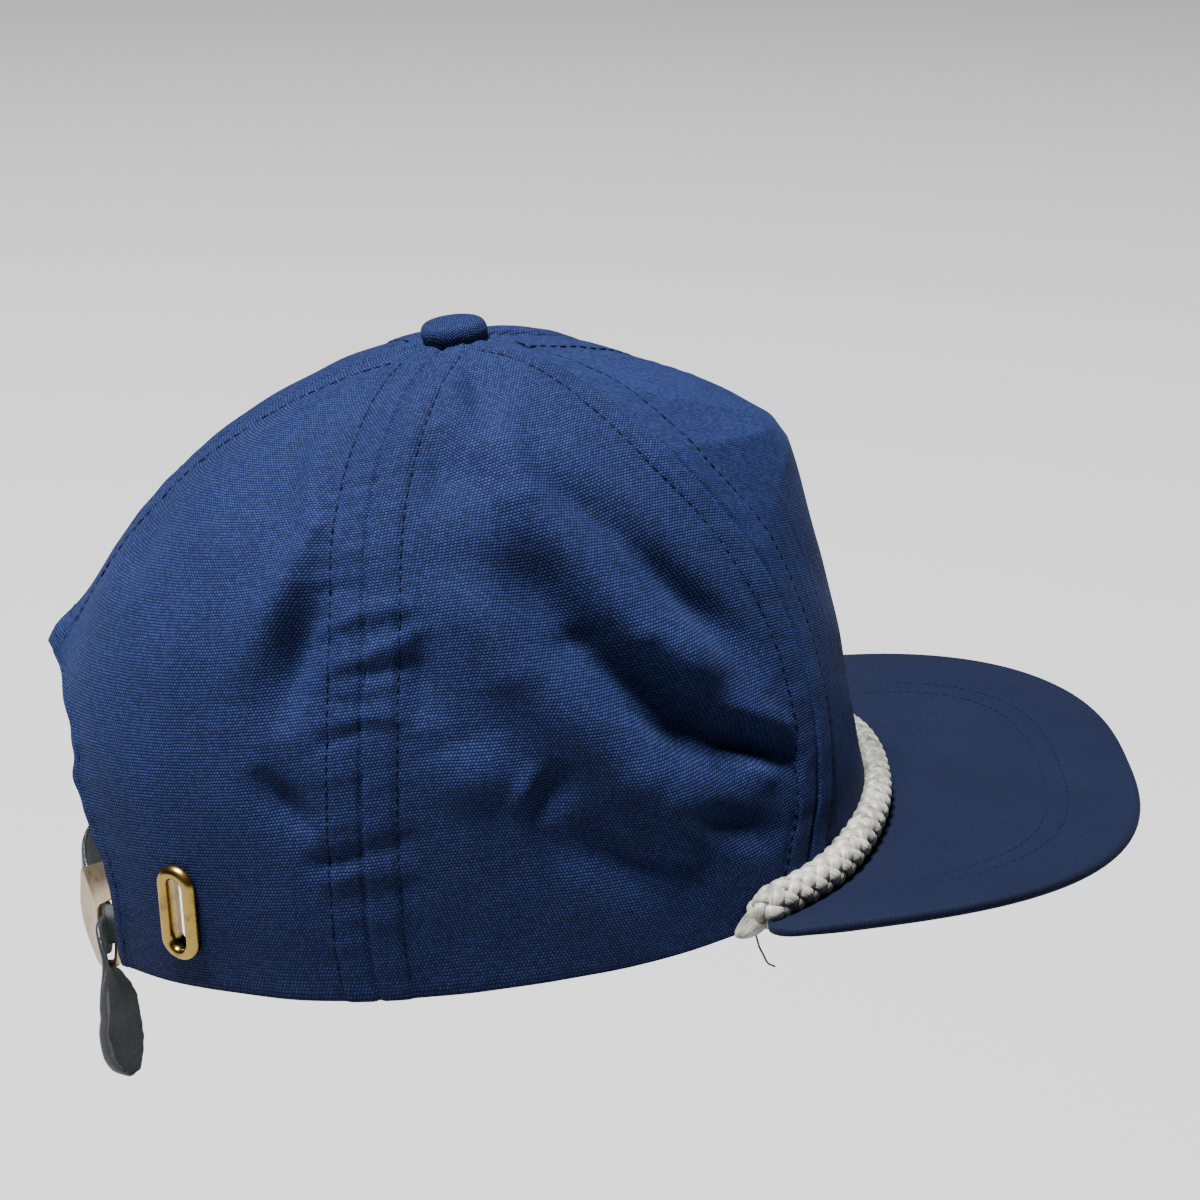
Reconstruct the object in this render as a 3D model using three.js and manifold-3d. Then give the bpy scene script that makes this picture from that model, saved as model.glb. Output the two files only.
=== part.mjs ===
// Five-panel rope cap with a leather strap closed by a brass slide buckle.
// Millimetres. The cap is drawn on its own rim plane: the front looks along -Y, the wearer's
// right is -X, +Z is up and the origin is the middle of the head opening. The whole cap is then
// tipped by WORN_TILT, the way it sits on a head, with the front up and the back down.
import * as THREE from "three";
import { mergeVertices } from "three/addons/utils/BufferGeometryUtils.js";
import Module from "manifold-3d";

const wasm = await Module();
wasm.setup();

// Driving sizes
const GAP = 0.3; // clearance between touching pieces
const FACET = 0.15; // more clearance where a curved face is made of flat ones
const WORN_TILT = 11.4; // degrees
const RIM_HALF_LENGTH = 101.4;
const RIM_HALF_WIDTH = 75.3;
const CROWN_HEIGHT = 131; // button seat over the rim plane
const BUTTON_Y = -25.6; // the panels meet ahead of the middle
const CLOTH = 1.6; // wall of the soft panels with their seam tape
const STIFF_CLOTH = 2; // wall of the backed front panel
const CROWN_TOP = 0.96; // rise at which the panels end, under the button
const CORNER = {
  rise: 0.6,
  height: 97.2,
  reach: 0.95,
  bow: 0.025,
  lead: 0.455,
  lift: 0.923,
  round: 0.035,
  sideRound: 0.3,
};
const STIFF_HALF_ANGLE = 48; // the stiff front fades into the soft crown here

// The crown's shape by azimuth from the front: how square the rim is, how far the rim lies over
// its plane, how full the profile is, and how far the wall bulges past the rim.
const SECTIONS = [
  { azimuth: 0, rimSquare: 2.45, rimHeight: 3.2, fullness: 2.4, bulge: 0.01 },
  { azimuth: 25, rimSquare: 2.45, rimHeight: 1.2, fullness: 2.14, bulge: 0.02 },
  { azimuth: 50, rimSquare: 2.45, rimHeight: -3.8, fullness: 2.14, bulge: 0.03 },
  { azimuth: 90, rimSquare: 2.43, rimHeight: -0.2, fullness: 2.48, bulge: 0.052 },
  { azimuth: 120, rimSquare: 2.08, rimHeight: 5.5, fullness: 2.34, bulge: 0.04 },
  { azimuth: 150, rimSquare: 1.94, rimHeight: 8.4, fullness: 2.2, bulge: 0.02 },
  { azimuth: 180, rimSquare: 1.9, rimHeight: 9.4, fullness: 2.1, bulge: 0 },
];

// Where the two seams of each side run, by rise from the rim, 0, to the button, 1.
const SEAMS = [
  { rise: 0, front: 40, side: 99.5 },
  { rise: 0.1, front: 33, side: 97.7 },
  { rise: 0.2, front: 28.5, side: 95.8 },
  { rise: 0.3, front: 27, side: 94.2 },
  { rise: 0.45, front: 28, side: 93 },
  { rise: 0.6, front: 31, side: 93.2 },
  { rise: 0.75, front: 29.5, side: 93 },
  { rise: 0.9, front: 26.5, side: 93 },
  { rise: 1, front: 24, side: 93 },
];

// The main folds of the soft cloth. Each is a straight crease from one place to another; push
// is how far it stands out, or in where negative, and spread is its half width.
// side is 1 on the wearer's right and -1 on the left.
const FOLDS = [
  { side: 1, fromAzimuth: 67, fromRise: 0.81, toAzimuth: 66, toRise: 0.57, push: 1.2, spread: 7 },
  { side: 1, fromAzimuth: 66, fromRise: 0.57, toAzimuth: 55, toRise: 0.35, push: 2.2, spread: 7 },
  { side: 1, fromAzimuth: 55, fromRise: 0.35, toAzimuth: 43, toRise: 0.25, push: 1.5, spread: 6 },
  { side: 1, fromAzimuth: 72, fromRise: 0.54, toAzimuth: 64, toRise: 0.36, push: -2.2, spread: 7 },
  { side: 1, fromAzimuth: 64, fromRise: 0.36, toAzimuth: 52, toRise: 0.23, push: -3.2, spread: 7 },
  { side: 1, fromAzimuth: 52, fromRise: 0.23, toAzimuth: 40, toRise: 0.15, push: -3, spread: 7 },
  { side: 1, fromAzimuth: 50, fromRise: 0.46, toAzimuth: 38, toRise: 0.24, push: -2, spread: 6 },
  { side: 1, fromAzimuth: 81, fromRise: 0.5, toAzimuth: 73, toRise: 0.33, push: 1.4, spread: 7 },
  { side: 1, fromAzimuth: 73, fromRise: 0.33, toAzimuth: 61, toRise: 0.19, push: 2, spread: 8 },
  { side: 1, fromAzimuth: 61, fromRise: 0.19, toAzimuth: 50, toRise: 0.07, push: 1.4, spread: 8 },
  { side: 1, fromAzimuth: 77, fromRise: 0.15, toAzimuth: 54, toRise: 0.06, push: -1.5, spread: 7 },
  { side: 1, fromAzimuth: 68, fromRise: 0.87, toAzimuth: 69, toRise: 0.66, push: -1.2, spread: 5 },
  { side: 1, fromAzimuth: 102, fromRise: 0.49, toAzimuth: 106, toRise: 0.28, push: -1.6, spread: 6 },
  { side: 1, fromAzimuth: 104, fromRise: 0.6, toAzimuth: 112, toRise: 0.33, push: 1.3, spread: 7 },
  { side: 1, fromAzimuth: 110, fromRise: 0.25, toAzimuth: 103, toRise: 0.16, push: -1, spread: 5 },
  { side: 1, fromAzimuth: 166, fromRise: 0.63, toAzimuth: 144, toRise: 0.46, push: -1.2, spread: 9 },
  { side: -1, fromAzimuth: 62, fromRise: 0.78, toAzimuth: 60, toRise: 0.45, push: 1.6, spread: 8 },
  { side: -1, fromAzimuth: 60, fromRise: 0.45, toAzimuth: 47, toRise: 0.24, push: 1.6, spread: 7 },
  { side: -1, fromAzimuth: 70, fromRise: 0.5, toAzimuth: 56, toRise: 0.25, push: -2.4, spread: 8 },
  { side: -1, fromAzimuth: 56, fromRise: 0.25, toAzimuth: 43, toRise: 0.13, push: -2.2, spread: 7 },
  { side: -1, fromAzimuth: 80, fromRise: 0.42, toAzimuth: 66, toRise: 0.16, push: 1.8, spread: 8 },
  { side: -1, fromAzimuth: 76, fromRise: 0.13, toAzimuth: 58, toRise: 0.07, push: -1.2, spread: 7 },
  { side: -1, fromAzimuth: 106, fromRise: 0.55, toAzimuth: 110, toRise: 0.3, push: -1.4, spread: 7 },
  { side: -1, fromAzimuth: 150, fromRise: 0.66, toAzimuth: 136, toRise: 0.4, push: -1.2, spread: 9 },
];
const FOLD_GIRTH = 80; // radius that turns azimuth into a distance across the cloth at the rim
const FOLD_TAPER = 2.3; // how slowly that radius shrinks towards the button
const FOLD_LENGTH = 185; // cloth from the rim to the button
const SEAM_HOLD = 7; // folds die out this far from a seam

// The opening at the back, by height over the rim plane.
const ARCH = [
  { height: 0, halfWidth: 44.6 },
  { height: 8, halfWidth: 45 },
  { height: 17, halfWidth: 46.3 },
  { height: 26, halfWidth: 48 },
  { height: 35, halfWidth: 47.2 },
  { height: 44, halfWidth: 43.3 },
  { height: 53, halfWidth: 38.2 },
  { height: 62, halfWidth: 33.2 },
  { height: 68, halfWidth: 27.5 },
  { height: 71.8, halfWidth: 18 },
  { height: 74, halfWidth: 6 },
];
const ARCH_STEPS = 26;
const ARCH_REACH = 60; // how far the cut runs past the wall
const CUT_DEPTH = 12; // of the eyelet's slot, more than the wall
const ARCH_FLARE = { push: 4.8, rise: 0.35, spread: 9 };

const SLOPE_TURN = 0.5; // degrees to each side over which the wall's slope is taken
const SLOPE_RISE = 0.004;

const PANEL_ROWS = 24;
const FRONT_COLUMNS = 16;
const SIDE_COLUMNS = 17;
const BACK_COLUMNS = 14;

const VISOR = {
  thickness: 3,
  rootAzimuth: 50,
  halfWidth: 82,
  shoulderY: 80,
  tipY: 166.5,
  roundness: 2.65,
  sideHeight: 4, // its upper face over the rim plane at its widest place
  tipHeight: -6.6,
  droop: 1.5,
  tuck: 1.2, // how far its root reaches in under the crown
  cornerOut: 3, // how far its corners stand out from the rim
  cornerAhead: 1,
  open: 98, // degrees round its outline from the tip to a corner, past the widest place
  steps: 34,
};
// Places across the visor from its root, 0, to its edge, 1, and heights round the turned edge
const VISOR_STATIONS = [0, 0.3, 0.65, 0.96];
const VISOR_NOSE = [0.55, 0, -0.55];
const BUTTON = { radius: 7.7, height: 5.2, slope: 0.09, sides: 20, seat: [0.1, 0.55, 1] };
// The covered top of the button, as shares of its radius and of its height
const BUTTON_PROFILE = [
  { radius: 1.02, height: 0.4 },
  { radius: 0.97, height: 0.66 },
  { radius: 0.86, height: 0.8 },
  { radius: 0.5, height: 0.95 },
  { radius: 0.1, height: 1 },
];
const ROPE = {
  radius: 3.35,
  endAzimuth: 52.5,
  taper: 7, // degrees over which each end thins out
  endHeight: 1.5, // half the height and half the width of the flattened ends
  endWidth: 1.95,
  sides: 8,
  steps: 56,
};
const ROPE_RISE = 0.06; // rise of the crown that the rope's upper side reaches
const ROPE_CONTACT = 0.7; // share of its radius out from its middle where the visor may touch it
const EYELET = {
  azimuth: 125.3,
  rise: 0.078,
  leanTurn: 3, // degrees by which its lower end lies further back
  leanRise: 0.115, // rise over which it does so
  flange: 5.3, // half width over the rolled rim
  washer: 4.5,
  hole: 2, // half width of the slot
  spine: 7, // half length of the slot's straight part
  barrelWall: 0.8,
  rim: 1.7, // how far the rolled rim stands out
  standOff: 0.7, // clearance from the mean face of the cloth, which is faceted
  washerWall: 0.8,
  lip: 0.9,
  bevel: 1.2,
  endSteps: 9,
};

// The closure is laid out on a leaning plane behind the head: along runs towards the wearer's
// right from the buckle's far edge, up runs up the lean and out points away from the head.
const BUCKLE = {
  origin: new THREE.Vector3(-10, 93.8, 19.6), // its upper far corner
  heading: 33, // degrees that its face is turned from straight back towards the right
  lean: 20, // degrees that its top leans in
  roll: 18, // degrees that its near end is turned up
  thickness: 1.2,
};
// The plate's corners, from the upper far one round below it, and its window's, with the radius
// that each is rounded to.
const BUCKLE_OUTLINE = [
  { along: -0.3, up: 0, round: 1.2 },
  { along: -2, up: -9, round: 7 },
  { along: 0.6, up: -15.5, round: 6 },
  { along: 8.6, up: -24.8, round: 3 },
  { along: 19, up: -24.8, round: 3 },
  { along: 21, up: -20.5, round: 2 },
  { along: 21, up: 1.4, round: 2 },
];
const BUCKLE_WINDOW = [
  { along: 8.9, up: -9.7, round: 1 },
  { along: 8.2, up: -18.6, round: 1.5 },
  { along: 10.9, up: -23, round: 1.5 },
  { along: 17.4, up: -23, round: 1.5 },
  { along: 18, up: -20, round: 1 },
  { along: 18, up: -8.2, round: 0.8 },
];
const STRAP = { width: 15.5, thickness: 1.8, edge: 0.9, edgeThickness: 0.6 };
// The strap, from inside the left panel, round the back, out through the buckle's window and
// down to its free tip. face is the compass direction that its grain side looks, from straight
// back (0) towards the wearer's right (90); lean tips its top in; roll turns its width from
// upright (0) to level (90); cut is its width as a share of the full one.
const STRAP_COURSE = [
  { x: 53, y: 58.5, z: 20.5, face: -54, lean: 6, roll: -8, cut: 1 },
  { x: 46, y: 68.8, z: 19, face: -46, lean: 6, roll: -6, cut: 1 },
  { x: 38, y: 79.6, z: 17.2, face: -38, lean: 8, roll: -4, cut: 1 },
  { x: 29, y: 88.8, z: 15.6, face: -30, lean: 10, roll: -2, cut: 1 },
  { x: 18, y: 95.2, z: 14.4, face: -16, lean: 12, roll: 0, cut: 1 },
  { x: 7, y: 97, z: 13.2, face: 2, lean: 12, roll: 0, cut: 1 },
  { x: -4, y: 95.6, z: 11.8, face: 18, lean: 14, roll: -4, cut: 0.96 },
  { x: -12.5, y: 92.2, z: 9.8, face: 32, lean: 16, roll: -8, cut: 0.84 },
  { x: -17.8, y: 89.6, z: 8.6, face: 30, lean: 16, roll: -8, cut: 0.76 },
  { x: -22.4, y: 87.5, z: 8.2, face: 16, lean: 14, roll: -6, cut: 0.73 },
  { x: -26.4, y: 87.3, z: 8.4, face: 4, lean: 10, roll: 2, cut: 0.72 },
  { x: -29.4, y: 89.3, z: 8.4, face: 10, lean: 6, roll: 24, cut: 0.7 },
  { x: -31.6, y: 90.3, z: 4.3, face: 24, lean: 2, roll: 60, cut: 0.76 },
  { x: -31.8, y: 90.6, z: -2, face: 12, lean: 0, roll: 86, cut: 0.84 },
  { x: -31.6, y: 89.3, z: -8, face: -26, lean: 0, roll: 90, cut: 0.92 },
  { x: -31.2, y: 89.6, z: -14, face: -40, lean: 0, roll: 90, cut: 0.94 },
  { x: -31, y: 90, z: -20, face: -42, lean: 0, roll: 90, cut: 0.88 },
  { x: -30.5, y: 90.4, z: -25, face: -42, lean: 0, roll: 90, cut: 0.64 },
  { x: -30, y: 90, z: -28.4, face: -42, lean: 0, roll: 90, cut: 0.26 },
];
const TAB = {
  wall: 1.2,
  height: 9.6,
  level: -14.4, // its middle, up the buckle's plane
  barLeft: 18,
  barRight: 21,
  shoulder: 3, // where its two plies meet past the bar
  length: 14,
  tail: 2.6, // how far out its sewn end lies
  round: 0.8,
  slotRound: 0.2,
};

// Colours, roughness and metalness of the materials
const NAVY = { color: 0x2b4379, roughness: 0.85, metalness: 0 };
const NAVY_BUTTON = { color: 0x27406f, roughness: 0.85, metalness: 0 };
const NAVY_VISOR = { color: 0x22345e, roughness: 0.8, metalness: 0 };
const WHITE_ROPE = { color: 0xe9e7df, roughness: 0.6, metalness: 0 };
const BLACK_LEATHER = { color: 0x23282a, roughness: 0.45, metalness: 0 };
const BRASS = { color: 0xb08d3c, roughness: 0.3, metalness: 1 };
const PALE_BRASS = { color: 0xc4ab7c, roughness: 0.3, metalness: 1 };

const radians = THREE.MathUtils.degToRad;
const mix = THREE.MathUtils.lerp;
const clamp01 = (value) => THREE.MathUtils.clamp(value, 0, 1);

// One column of a table at a place between its rows, by a curve that never overshoots them.
function tableValue(rows, key, column, at) {
  const last = rows.length - 1;
  const slope = (i) =>
    (rows[i + 1][column] - rows[i][column]) / (rows[i + 1][key] - rows[i][key]);
  const tangent = (i) => {
    if (i === 0 || i === last || slope(i - 1) * slope(i) <= 0) return 0;
    return 2 / (1 / slope(i - 1) + 1 / slope(i));
  };
  let i = 0;
  while (i < last - 1 && at > rows[i + 1][key]) i++;
  const span = rows[i + 1][key] - rows[i][key];
  const t = clamp01((at - rows[i][key]) / span);
  const start = rows[i][column];
  const rise = rows[i + 1][column] - start;
  const bend = span * (tangent(i) * t * (1 - t) ** 2 - tangent(i + 1) * t * t * (1 - t));
  return start + rise * t * t * (3 - 2 * t) + bend;
}

const section = (column, azimuth) => tableValue(SECTIONS, "azimuth", column, azimuth);
const seam = (column, rise) => tableValue(SEAMS, "rise", column, rise);

// A point of the rim on the wearer's right at an azimuth in degrees from the front.
function rimPoint(azimuth) {
  const square = section("rimSquare", azimuth);
  const c = Math.cos(radians(azimuth));
  const s = Math.sin(radians(azimuth));
  const k = (Math.abs(c) ** square + Math.abs(s) ** square) ** (-1 / square);
  return new THREE.Vector3(
    -RIM_HALF_WIDTH * s * k,
    -RIM_HALF_LENGTH * c * k,
    section("rimHeight", azimuth),
  );
}

// The soft crown's profile: how far out and how high it is at a rise.
function softProfile(azimuth, rise) {
  const power = 2 / section("fullness", azimuth);
  const turn = (rise * Math.PI) / 2;
  return {
    out: Math.cos(turn) ** power * (1 + section("bulge", azimuth) * Math.sin(2 * turn)),
    up: Math.sin(turn) ** power,
  };
}

// The stiff front's profile: a near-upright wall to the corner, then a slope to the button.
function sharpProfile(rise) {
  const cornerUp = CORNER.height / CROWN_HEIGHT;
  if (rise < CORNER.rise) {
    const a = rise / CORNER.rise;
    return {
      out: mix(1, CORNER.reach, a) + CORNER.bow * Math.sin(Math.PI * a),
      up: cornerUp * a,
    };
  }
  const q = (rise - CORNER.rise) / (1 - CORNER.rise);
  return {
    out: (1 - q) ** 2 * CORNER.reach + 2 * (1 - q) * q * CORNER.lead,
    up: (1 - q) ** 2 * cornerUp + 2 * (1 - q) * q * CORNER.lift + q * q,
  };
}

// The same with its corner rounded over a share of the rise to each side.
function stiffProfile(rise, round) {
  const reach = Math.min(round, rise, 1 - rise);
  const below = sharpProfile(rise - reach);
  const here = sharpProfile(rise);
  const above = sharpProfile(rise + reach);
  return {
    out: (below.out + 2 * here.out + above.out) / 4,
    up: (below.up + 2 * here.up + above.up) / 4,
  };
}

// The unfolded crown, for azimuths from 0 at the front to 180 at the back, on the right side.
function smoothCrown(azimuth, rise) {
  const rim = rimPoint(azimuth);
  const soft = softProfile(azimuth, rise);
  const give = THREE.MathUtils.smoothstep(azimuth, 0, STIFF_HALF_ANGLE);
  const stiff = stiffProfile(rise, mix(CORNER.round, CORNER.sideRound, give));
  const out = mix(stiff.out, soft.out, give);
  const up = mix(stiff.up, soft.up, give);
  return new THREE.Vector3(
    rim.x * out,
    BUTTON_Y + (rim.y - BUTTON_Y) * out,
    rim.z * (1 - up) + CROWN_HEIGHT * up,
  );
}

// The crown's outward direction, from its slopes across and up the wall.
function crownNormal(azimuth, rise) {
  const from = Math.max(azimuth - SLOPE_TURN, 0);
  const to = Math.min(azimuth + SLOPE_TURN, 180);
  const across = smoothCrown(to, rise).sub(smoothCrown(from, rise));
  const low = Math.max(rise - SLOPE_RISE, 0);
  const along = smoothCrown(azimuth, rise + SLOPE_RISE).sub(smoothCrown(azimuth, low));
  const normal = along.cross(across).normalize();
  if (azimuth < SLOPE_TURN || azimuth > 180 - SLOPE_TURN) normal.setX(0).normalize();
  return normal;
}

// Millimetres across the cloth for one degree of azimuth at a rise.
function girthAt(rise) {
  return radians(1) * FOLD_GIRTH * Math.cos((rise * Math.PI) / FOLD_TAPER);
}

// How far a place lies from a crease, measured across the cloth.
function creaseDistance(fold, azimuth, rise) {
  const girth = girthAt(rise);
  const place = new THREE.Vector2(azimuth * girth, rise * FOLD_LENGTH);
  const from = new THREE.Vector2(fold.fromAzimuth * girth, fold.fromRise * FOLD_LENGTH);
  const to = new THREE.Vector2(fold.toAzimuth * girth, fold.toRise * FOLD_LENGTH);
  const line = to.clone().sub(from);
  const t = clamp01(place.clone().sub(from).dot(line) / line.lengthSq());
  return place.distanceTo(from.addScaledVector(line, t));
}

// How far the cloth stands off the smooth crown at a place.
function foldHeight(side, azimuth, rise) {
  const girth = girthAt(rise);
  const toFront = Math.abs(azimuth - seam("front", rise));
  const toSide = Math.abs(azimuth - seam("side", rise));
  const toSeam = girth * Math.min(toFront, toSide, 180 - azimuth);
  const free = THREE.MathUtils.smoothstep(toSeam, 0, SEAM_HOLD);
  let height = 0;
  for (const fold of FOLDS) {
    if (fold.side !== side) continue;
    const reach = creaseDistance(fold, azimuth, rise) / fold.spread;
    height += fold.push * Math.exp(-reach * reach);
  }
  const flareAcross = (girth * (180 - azimuth)) / ARCH_FLARE.spread;
  const flareUp = ((rise - ARCH_FLARE.rise) * FOLD_LENGTH) / ARCH_FLARE.spread;
  return height * free + ARCH_FLARE.push * Math.exp(-(flareAcross ** 2) - flareUp ** 2);
}

// A point of the cloth at a depth in from its outer face. A negative azimuth is on the left.
function clothPoint(azimuth, rise, depth) {
  const side = azimuth < 0 ? -1 : 1;
  const turn = Math.abs(azimuth);
  const point = smoothCrown(turn, rise);
  point.addScaledVector(crownNormal(turn, rise), foldHeight(side, turn, rise) - depth);
  point.x *= side;
  return point;
}

// The turn in degrees that moves a point of the crown sideways by a distance.
function turnFor(distance, azimuth, rise) {
  const from = Math.max(azimuth - SLOPE_TURN, 0);
  const to = Math.min(azimuth + SLOPE_TURN, 180);
  const across = smoothCrown(from, rise).distanceTo(smoothCrown(to, rise));
  return (distance * (to - from)) / across;
}

// A closed body between an outer and an inner sheet, each a function of u and v from 0 to 1.
function shell(outer, inner, columns, rows) {
  const positions = [];
  for (const sheet of [outer, inner])
    for (let j = 0; j <= rows; j++)
      for (let i = 0; i <= columns; i++)
        positions.push(...sheet(i / columns, j / rows).toArray());
  const width = columns + 1;
  const layer = width * (rows + 1);
  const index = [];
  const quad = (a, b, c, d) => index.push(a, b, c, a, c, d);
  for (let j = 0; j < rows; j++)
    for (let i = 0; i < columns; i++) {
      const a = j * width + i;
      quad(a, a + 1, a + width + 1, a + width);
      quad(layer + a, layer + a + width, layer + a + width + 1, layer + a + 1);
    }
  for (let i = 0; i < columns; i++) {
    const top = rows * width + i;
    quad(i, layer + i, layer + i + 1, i + 1);
    quad(top, top + 1, layer + top + 1, layer + top);
  }
  for (let j = 0; j < rows; j++) {
    const a = j * width;
    const b = a + columns;
    quad(a, a + width, layer + a + width, layer + a);
    quad(b, layer + b, layer + b + width, b + width);
  }
  return geometryFrom(positions, index);
}

// A closed body through a row of rings with the same number of points each.
function loft(rings) {
  const sides = rings[0].length;
  const positions = rings.flat().flatMap((point) => point.toArray());
  const index = [];
  for (let r = 0; r < rings.length - 1; r++)
    for (let i = 0; i < sides; i++) {
      const a = r * sides + i;
      const b = r * sides + ((i + 1) % sides);
      index.push(a, b, b + sides, a, b + sides, a + sides);
    }
  for (let i = 1; i < sides - 1; i++) {
    const last = (rings.length - 1) * sides;
    index.push(0, i + 1, i, last, last + i, last + i + 1);
  }
  return geometryFrom(positions, index);
}

function geometryFrom(positions, index) {
  const geometry = new THREE.BufferGeometry();
  geometry.setAttribute("position", new THREE.Float32BufferAttribute(positions, 3));
  geometry.setIndex(index);
  return geometry;
}

// A geometry as a solid that can be cut or joined, turned the right way out.
function toSolid(geometry) {
  const bare = geometry.clone();
  bare.deleteAttribute("normal");
  bare.deleteAttribute("uv");
  const merged = mergeVertices(bare, 1e-4);
  const triVerts = new Uint32Array(merged.index.array);
  const vertProperties = new Float32Array(merged.attributes.position.array);
  const solid = new wasm.Manifold(new wasm.Mesh({ numProp: 3, vertProperties, triVerts }));
  if (solid.volume() > 0) return solid;
  for (let i = 0; i < triVerts.length; i += 3)
    [triVerts[i + 1], triVerts[i + 2]] = [triVerts[i + 2], triVerts[i + 1]];
  return new wasm.Manifold(new wasm.Mesh({ numProp: 3, vertProperties, triVerts }));
}

function fromSolid(solid) {
  const mesh = solid.getMesh();
  return geometryFrom(Array.from(mesh.vertProperties), Array.from(mesh.triVerts));
}

function named(name, geometry, finish) {
  const outward = fromSolid(toSolid(geometry));
  outward.computeVertexNormals();
  const mesh = new THREE.Mesh(outward, new THREE.MeshStandardMaterial(finish));
  mesh.name = name;
  return mesh;
}

// A crown panel between two seams, given as azimuths by rise.
function panelGeometry(fromSeam, toSeam, columns, wall) {
  const sheet = (depth) => (u, v) => {
    const rise = v * CROWN_TOP;
    const from = fromSeam(rise);
    const to = toSeam(rise);
    const inset = (azimuth) => turnFor(GAP / 2, Math.abs(azimuth), rise);
    return clothPoint(mix(from + inset(from), to - inset(to), u), rise, depth);
  };
  return shell(sheet(0), sheet(wall), columns, PANEL_ROWS);
}

// The arch at the back, as a block that cuts through the wall.
function archBlock() {
  const top = ARCH.at(-1).height;
  const side = [];
  for (let i = 0; i <= ARCH_STEPS; i++) {
    const height = top * (1 - (1 - i / ARCH_STEPS) ** 1.5);
    side.push(new THREE.Vector2(tableValue(ARCH, "height", "halfWidth", height), height));
  }
  const foot = new THREE.Vector2(ARCH[0].halfWidth, -ARCH_REACH);
  const right = [foot, ...side];
  const left = right.map((point) => new THREE.Vector2(-point.x, point.y)).reverse();
  const outline = new THREE.Shape([...right, ...left]);
  const block = new THREE.ExtrudeGeometry(outline, { depth: ARCH_REACH * 2, bevelEnabled: false });
  block.rotateX(Math.PI / 2);
  block.translate(0, ARCH_REACH * 2.5, 0);
  return block;
}

// The frame of the eyelet: local x across it, y up it and z out of the cloth.
function eyeletPlace() {
  const normal = crownNormal(EYELET.azimuth, EYELET.rise);
  const halfRise = EYELET.leanRise / 2;
  const above = smoothCrown(EYELET.azimuth - EYELET.leanTurn / 2, EYELET.rise + halfRise);
  const below = smoothCrown(EYELET.azimuth + EYELET.leanTurn / 2, EYELET.rise - halfRise);
  const up = above.sub(below);
  up.addScaledVector(normal, -up.dot(normal)).normalize();
  const across = up.clone().cross(normal).normalize();
  const place = new THREE.Matrix4().makeBasis(across, up, normal);
  return place.setPosition(smoothCrown(EYELET.azimuth, EYELET.rise));
}

// Points round the eyelet's oval at a distance from the line down the middle of its slot.
function ovalRing(radius, height) {
  const ring = [];
  for (const end of [1, -1])
    for (let i = 0; i <= EYELET.endSteps; i++) {
      const angle = (Math.PI * i) / EYELET.endSteps + (end > 0 ? 0 : Math.PI);
      const y = end * EYELET.spine + radius * Math.sin(angle);
      ring.push(new THREE.Vector3(radius * Math.cos(angle), y, height));
    }
  return ring;
}

// The eyelet: a rolled brass rim outside, a barrel through the cloth and a washer inside.
function eyeletGeometry() {
  const face = EYELET.standOff;
  const back = -(CLOTH + EYELET.standOff);
  const top = face + EYELET.rim;
  const { hole, flange, washer } = EYELET;
  const barrel = hole + EYELET.barrelWall;
  const loops = [
    ovalRing(hole, back - EYELET.washerWall),
    ovalRing(hole, top - EYELET.lip),
    ovalRing(hole + EYELET.lip, top),
    ovalRing(flange - EYELET.bevel, top),
    ovalRing(flange, top - EYELET.bevel),
    ovalRing(flange, face),
    ovalRing(barrel, face),
    ovalRing(barrel, back),
    ovalRing(washer, back),
    ovalRing(washer, back - EYELET.washerWall),
  ];
  const rings = loops[0].map((_, i) => loops.map((loop) => loop[i]));
  return ringLoop(rings).applyMatrix4(eyeletPlace());
}

// A closed ring through sections with the same number of points each.
function ringLoop(rings) {
  const sides = rings[0].length;
  const positions = rings.flat().flatMap((point) => point.toArray());
  const index = [];
  for (let r = 0; r < rings.length; r++)
    for (let i = 0; i < sides; i++) {
      const next = ((r + 1) % rings.length) * sides;
      const j = (i + 1) % sides;
      index.push(r * sides + i, r * sides + j, next + j, r * sides + i, next + j, next + i);
    }
  return geometryFrom(positions, index);
}

// The slot in the cloth that the eyelet's barrel passes through.
function eyeletSlot() {
  const outline = ovalRing(EYELET.hole + EYELET.barrelWall + GAP, 0);
  const shape = new THREE.Shape(outline.map((point) => new THREE.Vector2(point.x, point.y)));
  const block = new THREE.ExtrudeGeometry(shape, { depth: CUT_DEPTH, bevelEnabled: false });
  block.translate(0, 0, -CUT_DEPTH / 2);
  return block.applyMatrix4(eyeletPlace());
}

// The height of the crown's outer face at a place near the button, by halving the rise.
function crownHeightAt(x, y) {
  const reach = Math.hypot(x, y - BUTTON_Y);
  const heading = THREE.MathUtils.radToDeg(Math.atan2(Math.abs(x), BUTTON_Y - y));
  let low = CORNER.rise;
  let high = 1;
  while (high - low > 1e-6) {
    const middle = (low + high) / 2;
    const point = smoothCrown(heading, middle);
    if (Math.hypot(point.x, point.y - BUTTON_Y) > reach) low = middle;
    else high = middle;
  }
  return smoothCrown(heading, low).z;
}

// The covered button, seated on the cloth all round and sloping with it down to the front.
function buttonGeometry() {
  const ring = (share, height) => {
    const points = [];
    for (let i = 0; i < BUTTON.sides; i++) {
      const angle = (2 * Math.PI * i) / BUTTON.sides;
      const x = BUTTON.radius * share * Math.cos(angle);
      const ahead = BUTTON.radius * share * Math.sin(angle);
      points.push(new THREE.Vector3(x, BUTTON_Y + ahead, height(x, ahead)));
    }
    return points;
  };
  const seat = (x, ahead) => crownHeightAt(x, BUTTON_Y + ahead) + GAP + FACET;
  const rings = BUTTON.seat.map((share) => ring(share, seat));
  for (const row of BUTTON_PROFILE) {
    const level = CROWN_HEIGHT + BUTTON.height * row.height;
    rings.push(ring(row.radius, (x, ahead) => level + BUTTON.slope * ahead));
  }
  return loft(rings);
}

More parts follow.
